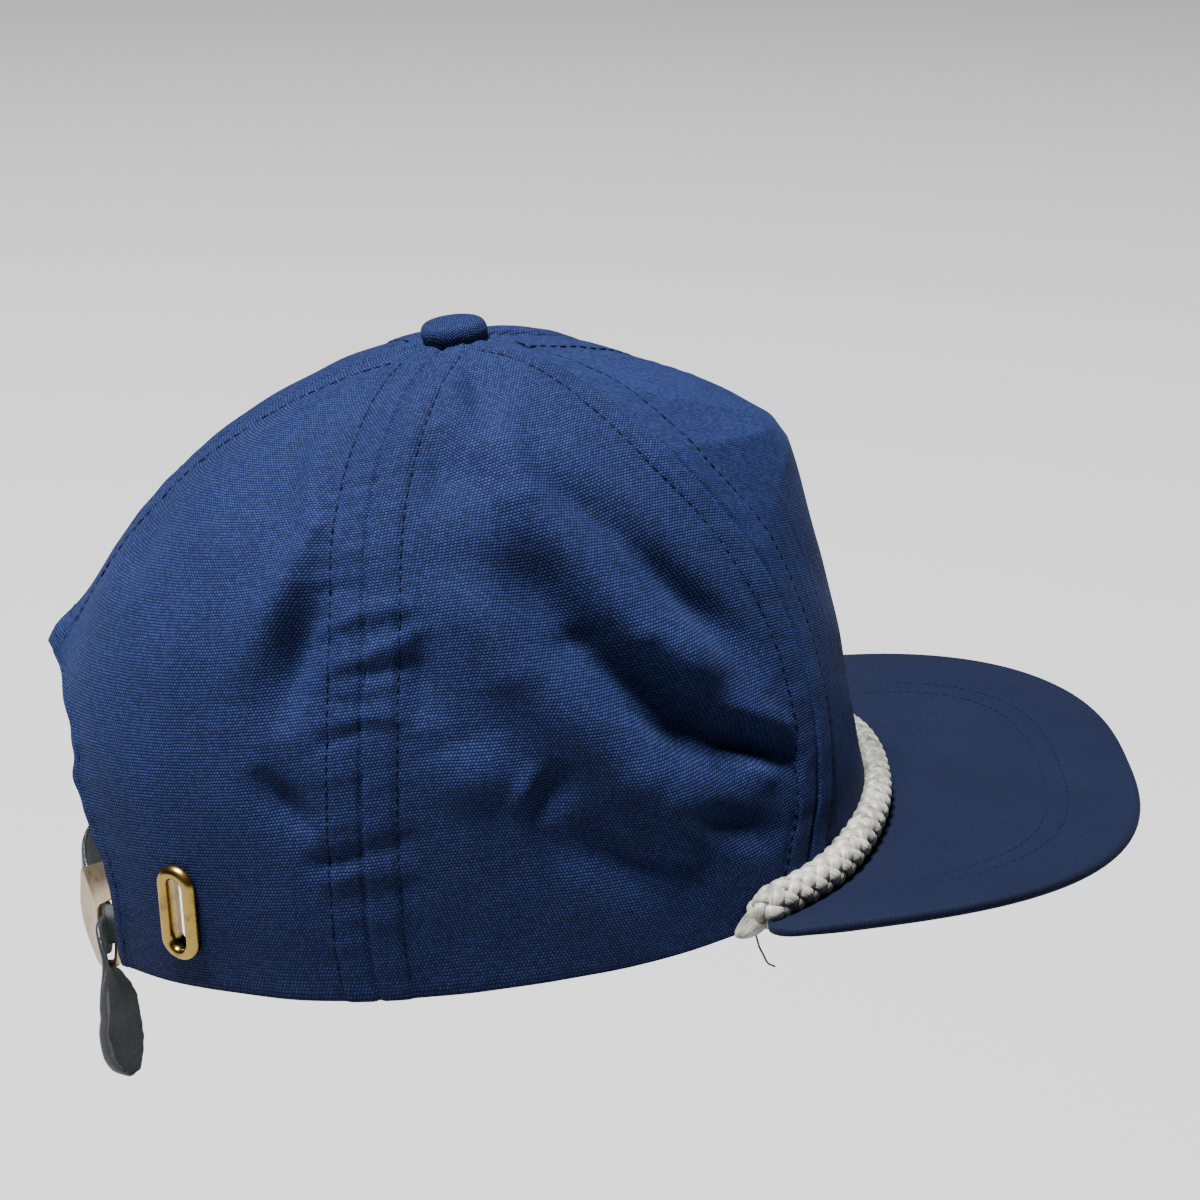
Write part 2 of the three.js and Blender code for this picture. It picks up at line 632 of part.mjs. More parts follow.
// The visor's outline, by a turn from -1 at its left root through the tip to 1.
function visorEdge(turn) {
  const angle = radians(VISOR.open * turn);
  const c = Math.cos(angle);
  const s = Math.sin(angle);
  const power = VISOR.roundness;
  const k = (Math.abs(c) ** power + Math.abs(s) ** power) ** (-1 / power);
  const forward = Math.max(c * k, 0);
  const root = rimPoint(VISOR.rootAzimuth);
  const past = clamp01((Math.abs(VISOR.open * turn) - 90) / (VISOR.open - 90));
  const x = -VISOR.halfWidth * s * k;
  const y = -(VISOR.shoulderY + (VISOR.tipY - VISOR.shoulderY) * c * k);
  const z = mix(VISOR.sideHeight, VISOR.tipHeight, forward ** VISOR.droop);
  const edge = new THREE.Vector3(x, y, z);
  const cornerX = Math.sign(x) * (Math.abs(root.x) + VISOR.cornerOut);
  const corner = new THREE.Vector3(cornerX, root.y + VISOR.cornerAhead, root.z);
  return edge.lerp(corner, past * past);
}

// The visor's upper face: u from the left root to the right one, v from the crown to the edge.
function visorTop(u, v) {
  const turn = 2 * u - 1;
  const azimuth = VISOR.rootAzimuth * Math.abs(turn);
  const rim = rimPoint(azimuth);
  const inward = new THREE.Vector3(rim.x, rim.y - BUTTON_Y, 0).normalize();
  rim.addScaledVector(inward, -VISOR.tuck);
  rim.z -= 2 * GAP + FACET;
  if (turn < 0) rim.x *= -1;
  return rim.lerp(visorEdge(turn), v);
}

// The visor: one section for each place along its edge, from the root out over the top, round
// the turned edge and back along the underside.
function visorGeometry() {
  const half = VISOR.thickness / 2;
  const nearEdge = VISOR_STATIONS.at(-1);
  const rings = [];
  for (let i = 0; i <= VISOR.steps; i++) {
    const u = i / VISOR.steps;
    const edge = visorTop(u, 1);
    const out = edge.clone().sub(visorTop(u, nearEdge)).setZ(0).normalize();
    const top = VISOR_STATIONS.map((v) => visorTop(u, v));
    const under = top.map((point) => point.clone().setZ(point.z - VISOR.thickness)).reverse();
    const nose = VISOR_NOSE.map((level) => {
      const inset = half * (Math.sqrt(1 - level * level) - 1);
      return edge.clone().addScaledVector(out, inset).setZ(edge.z - half + level * half);
    });
    rings.push([...top, ...nose, ...under]);
  }
  return loft(rings);
}

// The rope along the joint of the crown and the visor, its ends thinned and tucked under.
function ropeGeometry() {
  const rings = [];
  for (let i = 0; i <= ROPE.steps; i++) {
    const turn = (2 * i) / ROPE.steps - 1;
    const azimuth = Math.abs(turn) * ROPE.endAzimuth;
    const along = rimPoint(azimuth + SLOPE_TURN).sub(rimPoint(Math.max(azimuth - SLOPE_TURN, 0)));
    const out = new THREE.Vector3(-along.y, along.x, 0).normalize();
    const fade = THREE.MathUtils.smoothstep(ROPE.endAzimuth - azimuth, 0, ROPE.taper);
    const halfHeight = mix(ROPE.endHeight, ROPE.radius, fade);
    const halfWidth = mix(ROPE.endWidth, ROPE.radius, fade);
    const away = wallReach(azimuth) + halfWidth;
    const centre = rimPoint(azimuth).addScaledVector(out, away + GAP + FACET);
    centre.z = visorHeightNear(azimuth, away) + halfHeight + 3 * GAP + FACET;
    const ring = [];
    for (let k = 0; k < ROPE.sides; k++) {
      const angle = (2 * Math.PI * (k + 0.5)) / ROPE.sides;
      const point = centre.clone().addScaledVector(out, halfWidth * Math.cos(angle));
      point.z += halfHeight * Math.sin(angle);
      if (turn < 0) point.x *= -1;
      ring.push(point);
    }
    rings.push(ring);
  }
  return loft(rings);
}

// The height of the visor's upper face, or of the rim past its root, under the rope's outer side.
function visorHeightNear(azimuth, away) {
  const u = 0.5 + 0.5 * Math.min(azimuth / VISOR.rootAzimuth, 1);
  const reach = visorTop(u, 1).sub(visorTop(u, 0)).setZ(0).length();
  const v = Math.min((away + ROPE.radius * ROPE_CONTACT + VISOR.tuck) / reach, 1);
  return Math.max(visorTop(u, v).z, rimPoint(azimuth).z);
}

// How far the wall stands out past the rim at the rope's height.
function wallReach(azimuth) {
  const fromButton = (point) => Math.hypot(point.x, point.y - BUTTON_Y);
  const wall = smoothCrown(azimuth, ROPE_RISE);
  return Math.max(fromButton(wall) - fromButton(rimPoint(azimuth)), 0);
}

// Directions of the closure's leaning plane.
function closureFrame() {
  const heading = radians(BUCKLE.heading);
  const lean = radians(BUCKLE.lean);
  const along = new THREE.Vector3(-Math.cos(heading), -Math.sin(heading), 0);
  const level = new THREE.Vector3(-Math.sin(heading), Math.cos(heading), 0);
  const up = new THREE.Vector3(0, 0, Math.cos(lean)).addScaledVector(level, -Math.sin(lean));
  const out = along.clone().cross(up).normalize();
  along.applyAxisAngle(out, radians(BUCKLE.roll));
  up.applyAxisAngle(out, radians(BUCKLE.roll));
  return new THREE.Matrix4().makeBasis(along, up, out).setPosition(BUCKLE.origin);
}

// A closed outline through rounded corners, as a flat shape or the path of a hole.
function roundedOutline(Kind, corners, segments) {
  const outline = new Kind();
  const at = (i) => {
    const corner = corners[(i + corners.length) % corners.length];
    return new THREE.Vector2(corner.along, corner.up);
  };
  corners.forEach((corner, i) => {
    const here = at(i);
    const before = at(i - 1).sub(here);
    const after = at(i + 1).sub(here);
    const reach = Math.min(corner.round, before.length() / 2.1, after.length() / 2.1);
    const from = here.clone().add(before.setLength(reach));
    const to = here.clone().add(after.setLength(reach));
    for (let k = 0; k <= segments; k++) {
      const t = k / segments;
      const point = from.clone().lerp(here, t).lerp(here.clone().lerp(to, t), t);
      if (i === 0 && k === 0) outline.moveTo(point.x, point.y);
      else outline.lineTo(point.x, point.y);
    }
  });
  return outline;
}

// The buckle: a flat brass plate with one window near its sewn end.
function buckleGeometry() {
  const outline = roundedOutline(THREE.Shape, BUCKLE_OUTLINE, 4);
  outline.holes.push(roundedOutline(THREE.Path, BUCKLE_WINDOW, 3));
  const depth = BUCKLE.thickness;
  const plate = new THREE.ExtrudeGeometry(outline, { depth, bevelEnabled: false });
  plate.translate(0, 0, -depth);
  return plate.applyMatrix4(closureFrame());
}

// The strap as a flat ribbon along its course.
function strapGeometry() {
  const rows = STRAP_COURSE.map((row, at) => ({ ...row, at }));
  const last = rows.length - 1;
  const rings = [];
  for (let i = 0; i <= 2 * last; i++) {
    const value = (column) => tableValue(rows, "at", column, i / 2);
    const here = new THREE.Vector3(value("x"), value("y"), value("z"));
    const face = radians(value("face"));
    const roll = radians(value("roll"));
    const lean = radians(value("lean"));
    const grain = new THREE.Vector3(-Math.sin(face), Math.cos(face), 0);
    const level = new THREE.Vector3(-Math.cos(face), -Math.sin(face), 0);
    const upright = new THREE.Vector3(0, 0, Math.cos(lean)).addScaledVector(grain, -Math.sin(lean));
    const across = upright.multiplyScalar(Math.cos(roll)).addScaledVector(level, Math.sin(roll));
    const thick = grain.addScaledVector(across, -grain.dot(across)).normalize();
    const w = (STRAP.width / 2) * value("cut");
    const t = STRAP.thickness / 2;
    const half = [
      [w, t * STRAP.edgeThickness],
      [w * STRAP.edge, t],
      [-w * STRAP.edge, t],
      [-w, t * STRAP.edgeThickness],
    ];
    const profile = [...half, ...half.map(([a, b]) => [-a, -b])];
    rings.push(
      profile.map(([a, b]) => here.clone().addScaledVector(across, a).addScaledVector(thick, b)),
    );
  }
  return loft(rings);
}

// The leather tab that is folded round the buckle's near bar and sewn inside the right panel.
function tabGeometry() {
  const middle = -BUCKLE.thickness / 2;
  const clear = BUCKLE.thickness / 2 + GAP;
  const left = TAB.barLeft - GAP;
  const right = TAB.barRight + GAP;
  const round = (along, up, by = TAB.round) => ({ along, up: middle + up, round: by });
  const outline = [
    round(right + TAB.length, TAB.tail),
    round(right + TAB.length, TAB.tail + TAB.wall),
    round(right + TAB.shoulder, clear + TAB.wall),
    round(left - TAB.wall, clear + TAB.wall),
    round(left - TAB.wall, -clear - TAB.wall),
    round(right + TAB.shoulder / 2, -clear - TAB.wall),
  ];
  const plan = roundedOutline(THREE.Shape, outline, 2);
  const slot = [
    round(left, -clear, TAB.slotRound),
    round(left, clear, TAB.slotRound),
    round(right, clear, TAB.slotRound),
    round(right, -clear, TAB.slotRound),
  ];
  plan.holes.push(roundedOutline(THREE.Path, slot, 1));
  const loop = new THREE.ExtrudeGeometry(plan, { depth: TAB.height, bevelEnabled: false });
  // The plan's x runs along the closure, its y out of it, and its depth up it
  loop.applyMatrix4(new THREE.Matrix4().makeRotationX(Math.PI / 2));
  loop.translate(0, TAB.level + TAB.height / 2, 0);
  return loop.applyMatrix4(closureFrame());
}

const centreBack = () => 180;
const frontSeam = (rise) => seam("front", rise);
const sideSeam = (rise) => seam("side", rise);
const mirrored = (seamOf) => (rise) => -seamOf(rise);

const cap = new THREE.Group();
const worn = new THREE.Group();
worn.rotation.x = -radians(WORN_TILT);
cap.add(worn);

const arch = toSolid(archBlock());
const backRight = toSolid(panelGeometry(sideSeam, centreBack, BACK_COLUMNS, CLOTH));
const backLeft = toSolid(
  panelGeometry(mirrored(centreBack), mirrored(sideSeam), BACK_COLUMNS, CLOTH),
);
const slot = toSolid(eyeletSlot());

worn.add(
  named(
    "front_panel",
    panelGeometry(mirrored(frontSeam), frontSeam, FRONT_COLUMNS, STIFF_CLOTH),
    NAVY,
  ),
  named("side_panel_right", panelGeometry(frontSeam, sideSeam, SIDE_COLUMNS, CLOTH), NAVY),
  named(
    "side_panel_left",
    panelGeometry(mirrored(sideSeam), mirrored(frontSeam), SIDE_COLUMNS, CLOTH),
    NAVY,
  ),
  named("back_panel_right", fromSolid(backRight.subtract(arch).subtract(slot)), NAVY),
  named("back_panel_left", fromSolid(backLeft.subtract(arch)), NAVY),
  named("top_button", buttonGeometry(), NAVY_BUTTON),
  named("visor", visorGeometry(), NAVY_VISOR),
  named("rope", ropeGeometry(), WHITE_ROPE),
  named("eyelet", eyeletGeometry(), BRASS),
  named("buckle", buckleGeometry(), PALE_BRASS),
  named("strap", strapGeometry(), BLACK_LEATHER),
  named("strap_tab", tabGeometry(), BLACK_LEATHER),
);

export default cap;
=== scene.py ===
"""Looks of a panel rope cap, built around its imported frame.

The forms are worked out in millimetres on the cap's own rim plane: the front looks along -Y, the
wearer's right is -X, +Z is up and the origin is the middle of the head opening. Placement tips
them the way the cap is worn and turns them into metres.
"""

import logging
import math
from dataclasses import dataclass, field
from enum import Enum

import bmesh
import bpy
import numpy as np
from bpy.types import Material, Mesh, Node, NodeSocket, NodeTree, Object
from mathutils import Matrix, Vector


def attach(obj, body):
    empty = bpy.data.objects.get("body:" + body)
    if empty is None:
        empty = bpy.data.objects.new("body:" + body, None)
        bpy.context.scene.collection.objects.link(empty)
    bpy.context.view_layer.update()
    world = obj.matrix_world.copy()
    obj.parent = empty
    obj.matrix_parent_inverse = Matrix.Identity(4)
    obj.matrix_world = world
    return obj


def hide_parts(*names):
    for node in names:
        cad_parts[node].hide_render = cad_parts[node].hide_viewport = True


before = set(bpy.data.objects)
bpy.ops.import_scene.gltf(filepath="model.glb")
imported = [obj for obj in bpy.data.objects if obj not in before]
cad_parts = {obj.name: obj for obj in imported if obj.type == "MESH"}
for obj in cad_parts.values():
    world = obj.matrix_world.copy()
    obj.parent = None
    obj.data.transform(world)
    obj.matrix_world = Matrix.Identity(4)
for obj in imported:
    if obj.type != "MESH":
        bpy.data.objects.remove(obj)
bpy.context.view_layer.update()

Array = np.ndarray
LOG = logging.getLogger("cap")
MM = 0.001
UP = np.array([0, 0, 1.0])


class Slot(Enum):
    """Names of the material slots; no piece here is given one."""

    CLOTH = "navy_cloth"
    BUTTON = "button_cloth"
    VISOR = "visor_cloth"
    ROPE = "white_rope"
    EYELET = "aged_brass"
    BUCKLE = "pale_brass"
    LEATHER = "black_leather"


class Side(Enum):
    """The wearer's side that a piece is on."""

    RIGHT = 1
    LEFT = -1


class Seam(Enum):
    """A seam of the crown; the front panel has the other side's front seam too."""

    FRONT = "front"
    OTHER_FRONT = "other_front"
    SIDE = "side"
    BACK = "back"


@dataclass(frozen=True)
class Table:
    """Rows of numbers with named columns, read between the rows.

    The curve through a column never overshoots its rows.
    """

    columns: tuple[str, ...]
    rows: tuple[tuple[float, ...], ...]

    def column(self, name: str) -> Array:
        """Gives one column's numbers."""
        return np.array([row[self.columns.index(name)] for row in self.rows], float)

    def read(self, name: str, at: Array | float) -> Array:
        """Reads a column at places along the table's first column.

        Args:
            name: The column to read.
            at: Places along the first column.

        Returns:
            The column's value at each place.
        """
        keys, values = self.column(self.columns[0]), self.column(name)
        at = np.asarray(at, float)
        slope = np.diff(values) / np.diff(keys)
        tangent = np.zeros(len(keys))
        for i in range(1, len(keys) - 1):
            if slope[i - 1] * slope[i] > 0:
                tangent[i] = 2 / (1 / slope[i - 1] + 1 / slope[i])
        i = np.clip(np.searchsorted(keys, at) - 1, 0, len(keys) - 2)
        span = keys[i + 1] - keys[i]
        t = np.clip((at - keys[i]) / span, 0, 1)
        rise = values[i + 1] - values[i]
        bend = tangent[i] * t * (1 - t) ** 2 - tangent[i + 1] * t * t * (1 - t)
        return values[i] + rise * t * t * (3 - 2 * t) + span * bend


SECTIONS = Table(
    ("azimuth", "rim_square", "rim_height", "fullness", "bulge"),
    (
        (0, 2.45, -0.2, 2.4, 0.01),
        (25, 2.45, -0.9, 2.14, 0.02),
        (50, 2.45, -3.8, 2.14, 0.03),
        (90, 2.43, -0.2, 2.48, 0.052),
        (120, 2.08, 5.5, 2.34, 0.04),
        (150, 1.94, 8.4, 2.2, 0.02),
        (180, 1.9, 9.4, 2.1, 0),
    ),
)
SEAMS = Table(
    ("rise", "front", "side"),
    (
        (0, 40, 99.5), (0.1, 33, 97.7), (0.2, 28.5, 95.8),
        (0.3, 27, 94.2), (0.45, 28, 93), (0.6, 31, 93.2),
        (0.75, 29.5, 93), (0.9, 26.5, 93), (1, 24, 93),
    ),
)
ARCH = Table(
    ("height", "half_width"),
    (
        (0, 44.6), (8, 45), (17, 46.3), (26, 48),
        (35, 47.2), (44, 43.3), (49, 41.2), (54, 37.2),
        (59, 36.2), (64, 33.4), (68, 28.5), (71.8, 18),
        (74, 6),
    ),
)
CREASE_COLUMNS = ("side", "from_azimuth", "from_rise", "to_azimuth", "to_rise", "push", "spread")
# Main folds of the soft cloth: straight creases that stand out, or in where push is negative
FOLDS = Table(
    CREASE_COLUMNS,
    (
        (1, 67, 0.81, 66, 0.57, 1.2, 7),
        (1, 66, 0.57, 55, 0.35, 2.2, 7),
        (1, 55, 0.35, 43, 0.25, 1.5, 6),
        (1, 72, 0.54, 64, 0.36, -2.2, 7),
        (1, 64, 0.36, 52, 0.23, -3.2, 7),
        (1, 52, 0.23, 40, 0.15, -3, 7),
        (1, 50, 0.46, 38, 0.24, -2, 6),
        (1, 81, 0.5, 73, 0.33, 1.4, 7),
        (1, 73, 0.33, 61, 0.19, 2, 8),
        (1, 61, 0.19, 50, 0.07, 1.4, 8),
        (1, 77, 0.15, 54, 0.06, -1.5, 7),
        (1, 68, 0.87, 69, 0.66, -1.2, 5),
        (1, 102, 0.49, 106, 0.28, -1.6, 6),
        (1, 104, 0.6, 112, 0.33, 1.3, 7),
        (1, 110, 0.25, 103, 0.16, -1, 5),
        (1, 166, 0.63, 144, 0.46, -1.2, 9),
        (-1, 62, 0.78, 60, 0.45, 1.6, 8),
        (-1, 60, 0.45, 47, 0.24, 1.6, 7),
        (-1, 70, 0.5, 56, 0.25, -2.4, 8),
        (-1, 56, 0.25, 43, 0.13, -2.2, 7),
        (-1, 80, 0.42, 66, 0.16, 1.8, 8),
        (-1, 76, 0.13, 58, 0.07, -1.2, 7),
        (-1, 106, 0.55, 110, 0.3, -1.4, 7),
        (-1, 150, 0.66, 136, 0.4, -1.2, 9),
    ),
)
# Finer creases, too small for the solids
FINE_FOLDS = Table(
    CREASE_COLUMNS,
    (
        (1, 80, 0.73, 80.5, 0.55, -1.0, 4),
        (1, 76, 0.9, 74, 0.62, 0.8, 4),
        (1, 85.5, 0.4, 86, 0.27, -1.6, 3.6),
        (1, 83, 0.25, 79, 0.17, 1.2, 9),
        (1, 73, 0.226, 77.5, 0.16, 1.1, 2.6),
        (1, 70, 0.222, 74.5, 0.15, -1.2, 3.4),
        (1, 58, 0.15, 42, 0.07, -1.3, 4),
        (1, 79, 0.62, 71, 0.42, 0.9, 5),
        (1, 48, 0.205, 34.5, 0.13, -2.0, 3.4),
        (1, 49, 0.25, 34, 0.175, 1.1, 4),
        (1, 63, 0.64, 50, 0.46, -1.0, 4),
        (1, 50, 0.46, 36, 0.27, -1.1, 3.6),
        (1, 52, 0.4, 42, 0.27, 0.9, 4),
        (1, 48, 0.2, 41, 0.13, 0.9, 4),
        (1, 68, 0.14, 58, 0.09, 0.7, 4),
        (1, 109.5, 0.254, 102.5, 0.158, -0.5, 2.5),
        (1, 115, 0.795, 103, 0.57, 0.8, 3.4),
        (1, 103, 0.57, 110, 0.337, 0.9, 3.4),
        (1, 100, 0.49, 105.5, 0.287, -1.0, 3),
        (1, 62, 0.7, 60, 0.5, -0.4, 3),
        (1, 55, 0.68, 42, 0.43, 0.6, 3.5),
        (1, 64, 0.3, 50, 0.19, -0.7, 2.5),
        (1, 128, 0.5, 122, 0.3, 0.4, 5),
        (-1, 82, 0.68, 81, 0.5, -0.5, 3),
        (-1, 66, 0.4, 52, 0.22, -0.6, 3),
        (-1, 74, 0.22, 60, 0.12, 0.5, 3),
        (-1, 104, 0.5, 108, 0.28, -0.5, 3),
        (-1, 116, 0.7, 112, 0.4, 0.5, 4),
    ),
)
# Cross puckers of the side seams' bands
PUCKERS = Table(
    ("rise", "push", "spread"),
    (
        (0.07, 0.35, 3), (0.09, -0.45, 2.5), (0.12, 0.35, 3),
        (0.138, -0.55, 2.5), (0.17, 0.2, 4), (0.24, 0.5, 5),
        (0.282, -0.45, 2), (0.298, 0.35, 2), (0.315, -0.5, 2.5),
        (0.35, -0.7, 3), (0.375, 0.45, 3), (0.405, -0.8, 4),
        (0.435, 0.45, 3), (0.462, -0.5, 3), (0.53, 0.25, 5),
        (0.64, -0.25, 4), (0.72, 0.2, 5),
    ),
)


def smooth(value: Array, low: float, high: float) -> Array:
    """Eases from 0 at low to 1 at high."""
    t = np.clip((value - low) / (high - low), 0, 1)
    return t * t * (3 - 2 * t)


def mix(a: Array, b: Array, t: Array) -> Array:
    """Mixes from a at 0 to b at 1."""
    return a + (b - a) * t


def bump(distance: Array, spread: float | Array) -> Array:
    """A rounded ridge: 1 at no distance, fading over the spread."""
    return np.exp(-((distance / spread) ** 2))


def unit(vectors: Array) -> Array:
    """Scales each row to length 1."""
    return vectors / np.maximum(np.linalg.norm(vectors, axis=-1, keepdims=True), 1e-12)


def reach_along(points: Array) -> Array:
    """Gives each point's distance along a line from its start."""
    steps = np.linalg.norm(np.diff(points, axis=0), axis=1)
    return np.concatenate([[0], np.cumsum(steps)])


def round_angles(sides: int) -> Array:
    """Gives evenly spaced angles round a circle."""
    return np.arange(sides) * 2 * math.pi / sides


def averaged(values: Array, width: int, **padding: object) -> Array:
    """Smooths numbers by a moving mean, carried past both ends as np.pad is told to."""
    padded = np.pad(values, width // 2, **padding)
    return np.convolve(padded, np.ones(width) / width, "valid")


def row_at(place: float, reach: Array, rows: Array) -> Vector:
    """Reads rows of numbers, given by their reach along a line, at a place on it."""
    return Vector([np.interp(place, reach, column) for column in rows.T])


def rings_round(line: Array, side: Array, up: Array, a: Array, b: Array) -> Array:
    """Lays rings round a line, a along its side directions and b along its up directions."""
    return line[:, None] + side[:, None] * a[..., None] + up[:, None] * b[..., None]


def moved(points: Array, matrix: Matrix) -> Array:
    """Moves points by a matrix."""
    turn = np.array(matrix)
    return points @ turn[:3, :3].T + turn[:3, 3]


@dataclass
class Ripple:
    """Soft random waves over a sheet, the same on each run."""

    seed: int
    shortest: float = 16
    longest: float = 55
    waves: int = 14

    def __post_init__(self) -> None:
        """Draws the waves."""
        draw = np.random.default_rng(self.seed)
        length = draw.uniform(self.shortest, self.longest, self.waves)
        heading = draw.uniform(0, math.pi, self.waves)
        self.along = 2 * math.pi * np.cos(heading) / length
        self.across = 2 * math.pi * np.sin(heading) / length
        self.phase = draw.uniform(0, 2 * math.pi, self.waves)

    def height(self, x: Array, y: Array) -> Array:
        """Gives the waves' height from about -1 to 1 at places in millimetres."""
        turn = self.along * x[..., None] + self.across * y[..., None] + self.phase
        return np.sin(turn).sum(-1) / math.sqrt(2 * self.waves)


@dataclass(frozen=True)
class Placement:
    """Tips the cap's own millimetres the way it is worn, as metres of the part's frame."""

    tilt: float = 11.4

    def points(self, places: Array) -> Array:
        """Gives points of the part's frame for places on the cap."""
        c, s = math.cos(math.radians(self.tilt)), math.sin(math.radians(self.tilt))
        return places @ np.array([[1, 0, 0], [0, c, -s], [0, s, c]]) * MM


PLACEMENT = Placement()


@dataclass(frozen=True)
class Crown:
    """The crown's outer face by azimuth from the front and rise from the rim to the button."""

    half_length: float = 101.4
    half_width: float = 75.3
    height: float = 131
    button_y: float = -25.6
    stiff_half_angle: float = 48
    corner_rise: float = 0.6
    corner_height: float = 97.2
    corner_reach: float = 0.95
    corner_bow: float = 0.025
    corner_lead: float = 0.455
    corner_lift: float = 0.923
    corner_round: float = 0.035
    side_round: float = 0.3
    fold_girth: float = 80
    fold_taper: float = 2.3
    fold_length: float = 185
    seam_hold: float = 7
    end_fade: float = 0.6
    meeting: float = 4
    sharpness: float = 0.8
    strength: float = 2.0
    flare_push: float = 4.8
    flare_rise: float = 0.35
    flare_spread: float = 9

    def rim(self, azimuth: Array) -> Array:
        """Gives points of the rim on the wearer's right.

        Args:
            azimuth: Degrees from the front.

        Returns:
            Points in millimetres.
        """
        square = SECTIONS.read("rim_square", azimuth)
        turn = np.radians(azimuth)
        c, s = np.cos(turn), np.sin(turn)
        k = (np.abs(c) ** square + np.abs(s) ** square) ** (-1 / square)
        height = SECTIONS.read("rim_height", azimuth)
        return np.stack([-self.half_width * s * k, -self.half_length * c * k, height], -1)

    def soft_profile(self, azimuth: Array, rise: Array) -> tuple:
        """Gives the soft crown's section.

        Args:
            azimuth: Degrees from the front.
            rise: From the rim, 0, to the button, 1.

        Returns:
            How far out, as a share of the rim, and how high, as a share of the crown.
        """
        power = 2 / SECTIONS.read("fullness", azimuth)
        turn = rise * math.pi / 2
        swell = 1 + SECTIONS.read("bulge", azimuth) * np.sin(2 * turn)
        return np.maximum(np.cos(turn), 0) ** power * swell, np.sin(turn) ** power

    def sharp_profile(self, rise: Array) -> tuple:
        """Gives the stiff front's section: a wall up to its corner and a slope to the button.

        Args:
            rise: From the rim, 0, to the button, 1.

        Returns:
            How far out and how high, as shares.
        """
        corner_up = self.corner_height / self.height
        a = rise / self.corner_rise
        wall_out = mix(1, self.corner_reach, a) + self.corner_bow * np.sin(math.pi * a)
        q = (rise - self.corner_rise) / (1 - self.corner_rise)
        slope_out = (1 - q) ** 2 * self.corner_reach + 2 * (1 - q) * q * self.corner_lead
        slope_up = (1 - q) ** 2 * corner_up + 2 * (1 - q) * q * self.corner_lift + q * q
        below = rise < self.corner_rise
        return np.where(below, wall_out, slope_out), np.where(below, corner_up * a, slope_up)

    def stiff_profile(self, rise: Array, rounding: Array) -> tuple:
        """Gives the stiff front's section with its corner rounded.

        Args:
            rise: From the rim, 0, to the button, 1.
            rounding: How far the rounding reaches along the rise.

        Returns:
            How far out and how high, as shares.
        """
        reach = np.minimum(rounding, np.minimum(rise, 1 - rise))
        low, here, high = (self.sharp_profile(rise + step) for step in (-reach, 0 * reach, reach))
        return tuple((a + 2 * b + c) / 4 for a, b, c in zip(low, here, high))

    def smooth_point(self, azimuth: Array, rise: Array) -> Array:
        """Gives the unfolded crown on the wearer's right.

        Args:
            azimuth: Degrees from the front, 0 to 180.
            rise: From the rim, 0, to the button, 1.

        Returns:
            Points in millimetres on the cap's own rim plane.
        """
        azimuth, rise = np.broadcast_arrays(np.asarray(azimuth, float), rise)
        rim = self.rim(azimuth)
        give = smooth(azimuth, 0, self.stiff_half_angle)
        rounding = mix(self.corner_round, self.side_round, give)
        stiff_out, stiff_up = self.stiff_profile(rise, rounding)
        soft_out, soft_up = self.soft_profile(azimuth, rise)
        out, up = mix(stiff_out, soft_out, give), mix(stiff_up, soft_up, give)
        y = self.button_y + (rim[..., 1] - self.button_y) * out
        z = rim[..., 2] * (1 - up) + self.height * up
        return np.stack([rim[..., 0] * out, y, z], -1)

    def normal(self, azimuth: Array, rise: Array) -> Array:
        """Gives the crown's outward directions on the wearer's right.

        Args:
            azimuth: Degrees from the front.
            rise: From the rim, 0, to the button, 1.

        Returns:
            Directions of length 1.
        """
        azimuth, rise = np.broadcast_arrays(np.asarray(azimuth, float), rise)
        low, high = np.maximum(azimuth - 0.5, 0), np.minimum(azimuth + 0.5, 180)
        across = self.smooth_point(high, rise) - self.smooth_point(low, rise)
        above = self.smooth_point(azimuth, np.minimum(rise + 0.004, 1))
        along = above - self.smooth_point(azimuth, np.maximum(rise - 0.004, 0))
        normal = unit(np.cross(along, across))
        middle = (azimuth < 0.5) | (azimuth > 179.5)
        normal[..., 0] = np.where(middle, 0, normal[..., 0])
        return unit(normal)

    def girth(self, rise: Array) -> Array:
        """Gives millimetres across the cloth for one degree, as the folds are laid out."""
        return math.radians(1) * self.fold_girth * np.cos(rise * math.pi / self.fold_taper)

    def laid(self, girth: Array, azimuth: Array, rise: Array) -> Array:
        """Gives places on the cloth as it is laid out, in millimetres."""
        return np.stack(np.broadcast_arrays(azimuth * girth, rise * self.fold_length), -1)

    def creases(self, table: Table, side: Side, azimuth: Array, rise: Array) -> Array:
        """Adds up the creases of one side.

        A crease runs on into the next one at a joint and fades at a free end. Where creases lie
        over each other, the deeper one holds.

        Args:
            table: The creases.
            side: The wearer's side.
            azimuth: Degrees from the front.
            rise: From the rim, 0, to the button, 1.

        Returns:
            Millimetres off the smooth crown, before the folds' strength.
        """
        girth = self.girth(rise)
        place = self.laid(girth, azimuth, rise)
        ridges, valleys = np.zeros(girth.shape), np.zeros(girth.shape)
        joints = [row[1:3] for row in table.rows] + [row[3:5] for row in table.rows]
        for row in table.rows:
            if row[0] != side.value:
                continue
            ends = row[1:3], row[3:5]
            start, end = (self.laid(girth, *joint) for joint in ends)
            line = end - start
            t = np.sum((place - start) * line, -1) / np.sum(line * line, -1)
            ratio = np.clip(t, 0, 1)
            distance = np.linalg.norm(place - start - line * ratio[..., None], axis=-1)
            start_free, end_free = (joints.count(joint) == 1 for joint in ends)
            fade = smooth(t, 0, self.end_fade) if start_free else 1
            fade = fade * (smooth(1 - t, 0, self.end_fade) if end_free else 1)
            fade = fade if start_free != end_free else np.sqrt(fade)
            push, spread = (
                mix(*(self.at_joint(table, joint, name) for joint in ends), ratio)
                for name in ("push", "spread")
            )
            depth = (abs(push) * fade * bump(distance, self.sharpness * spread)) ** self.meeting
            if row[5] > 0:
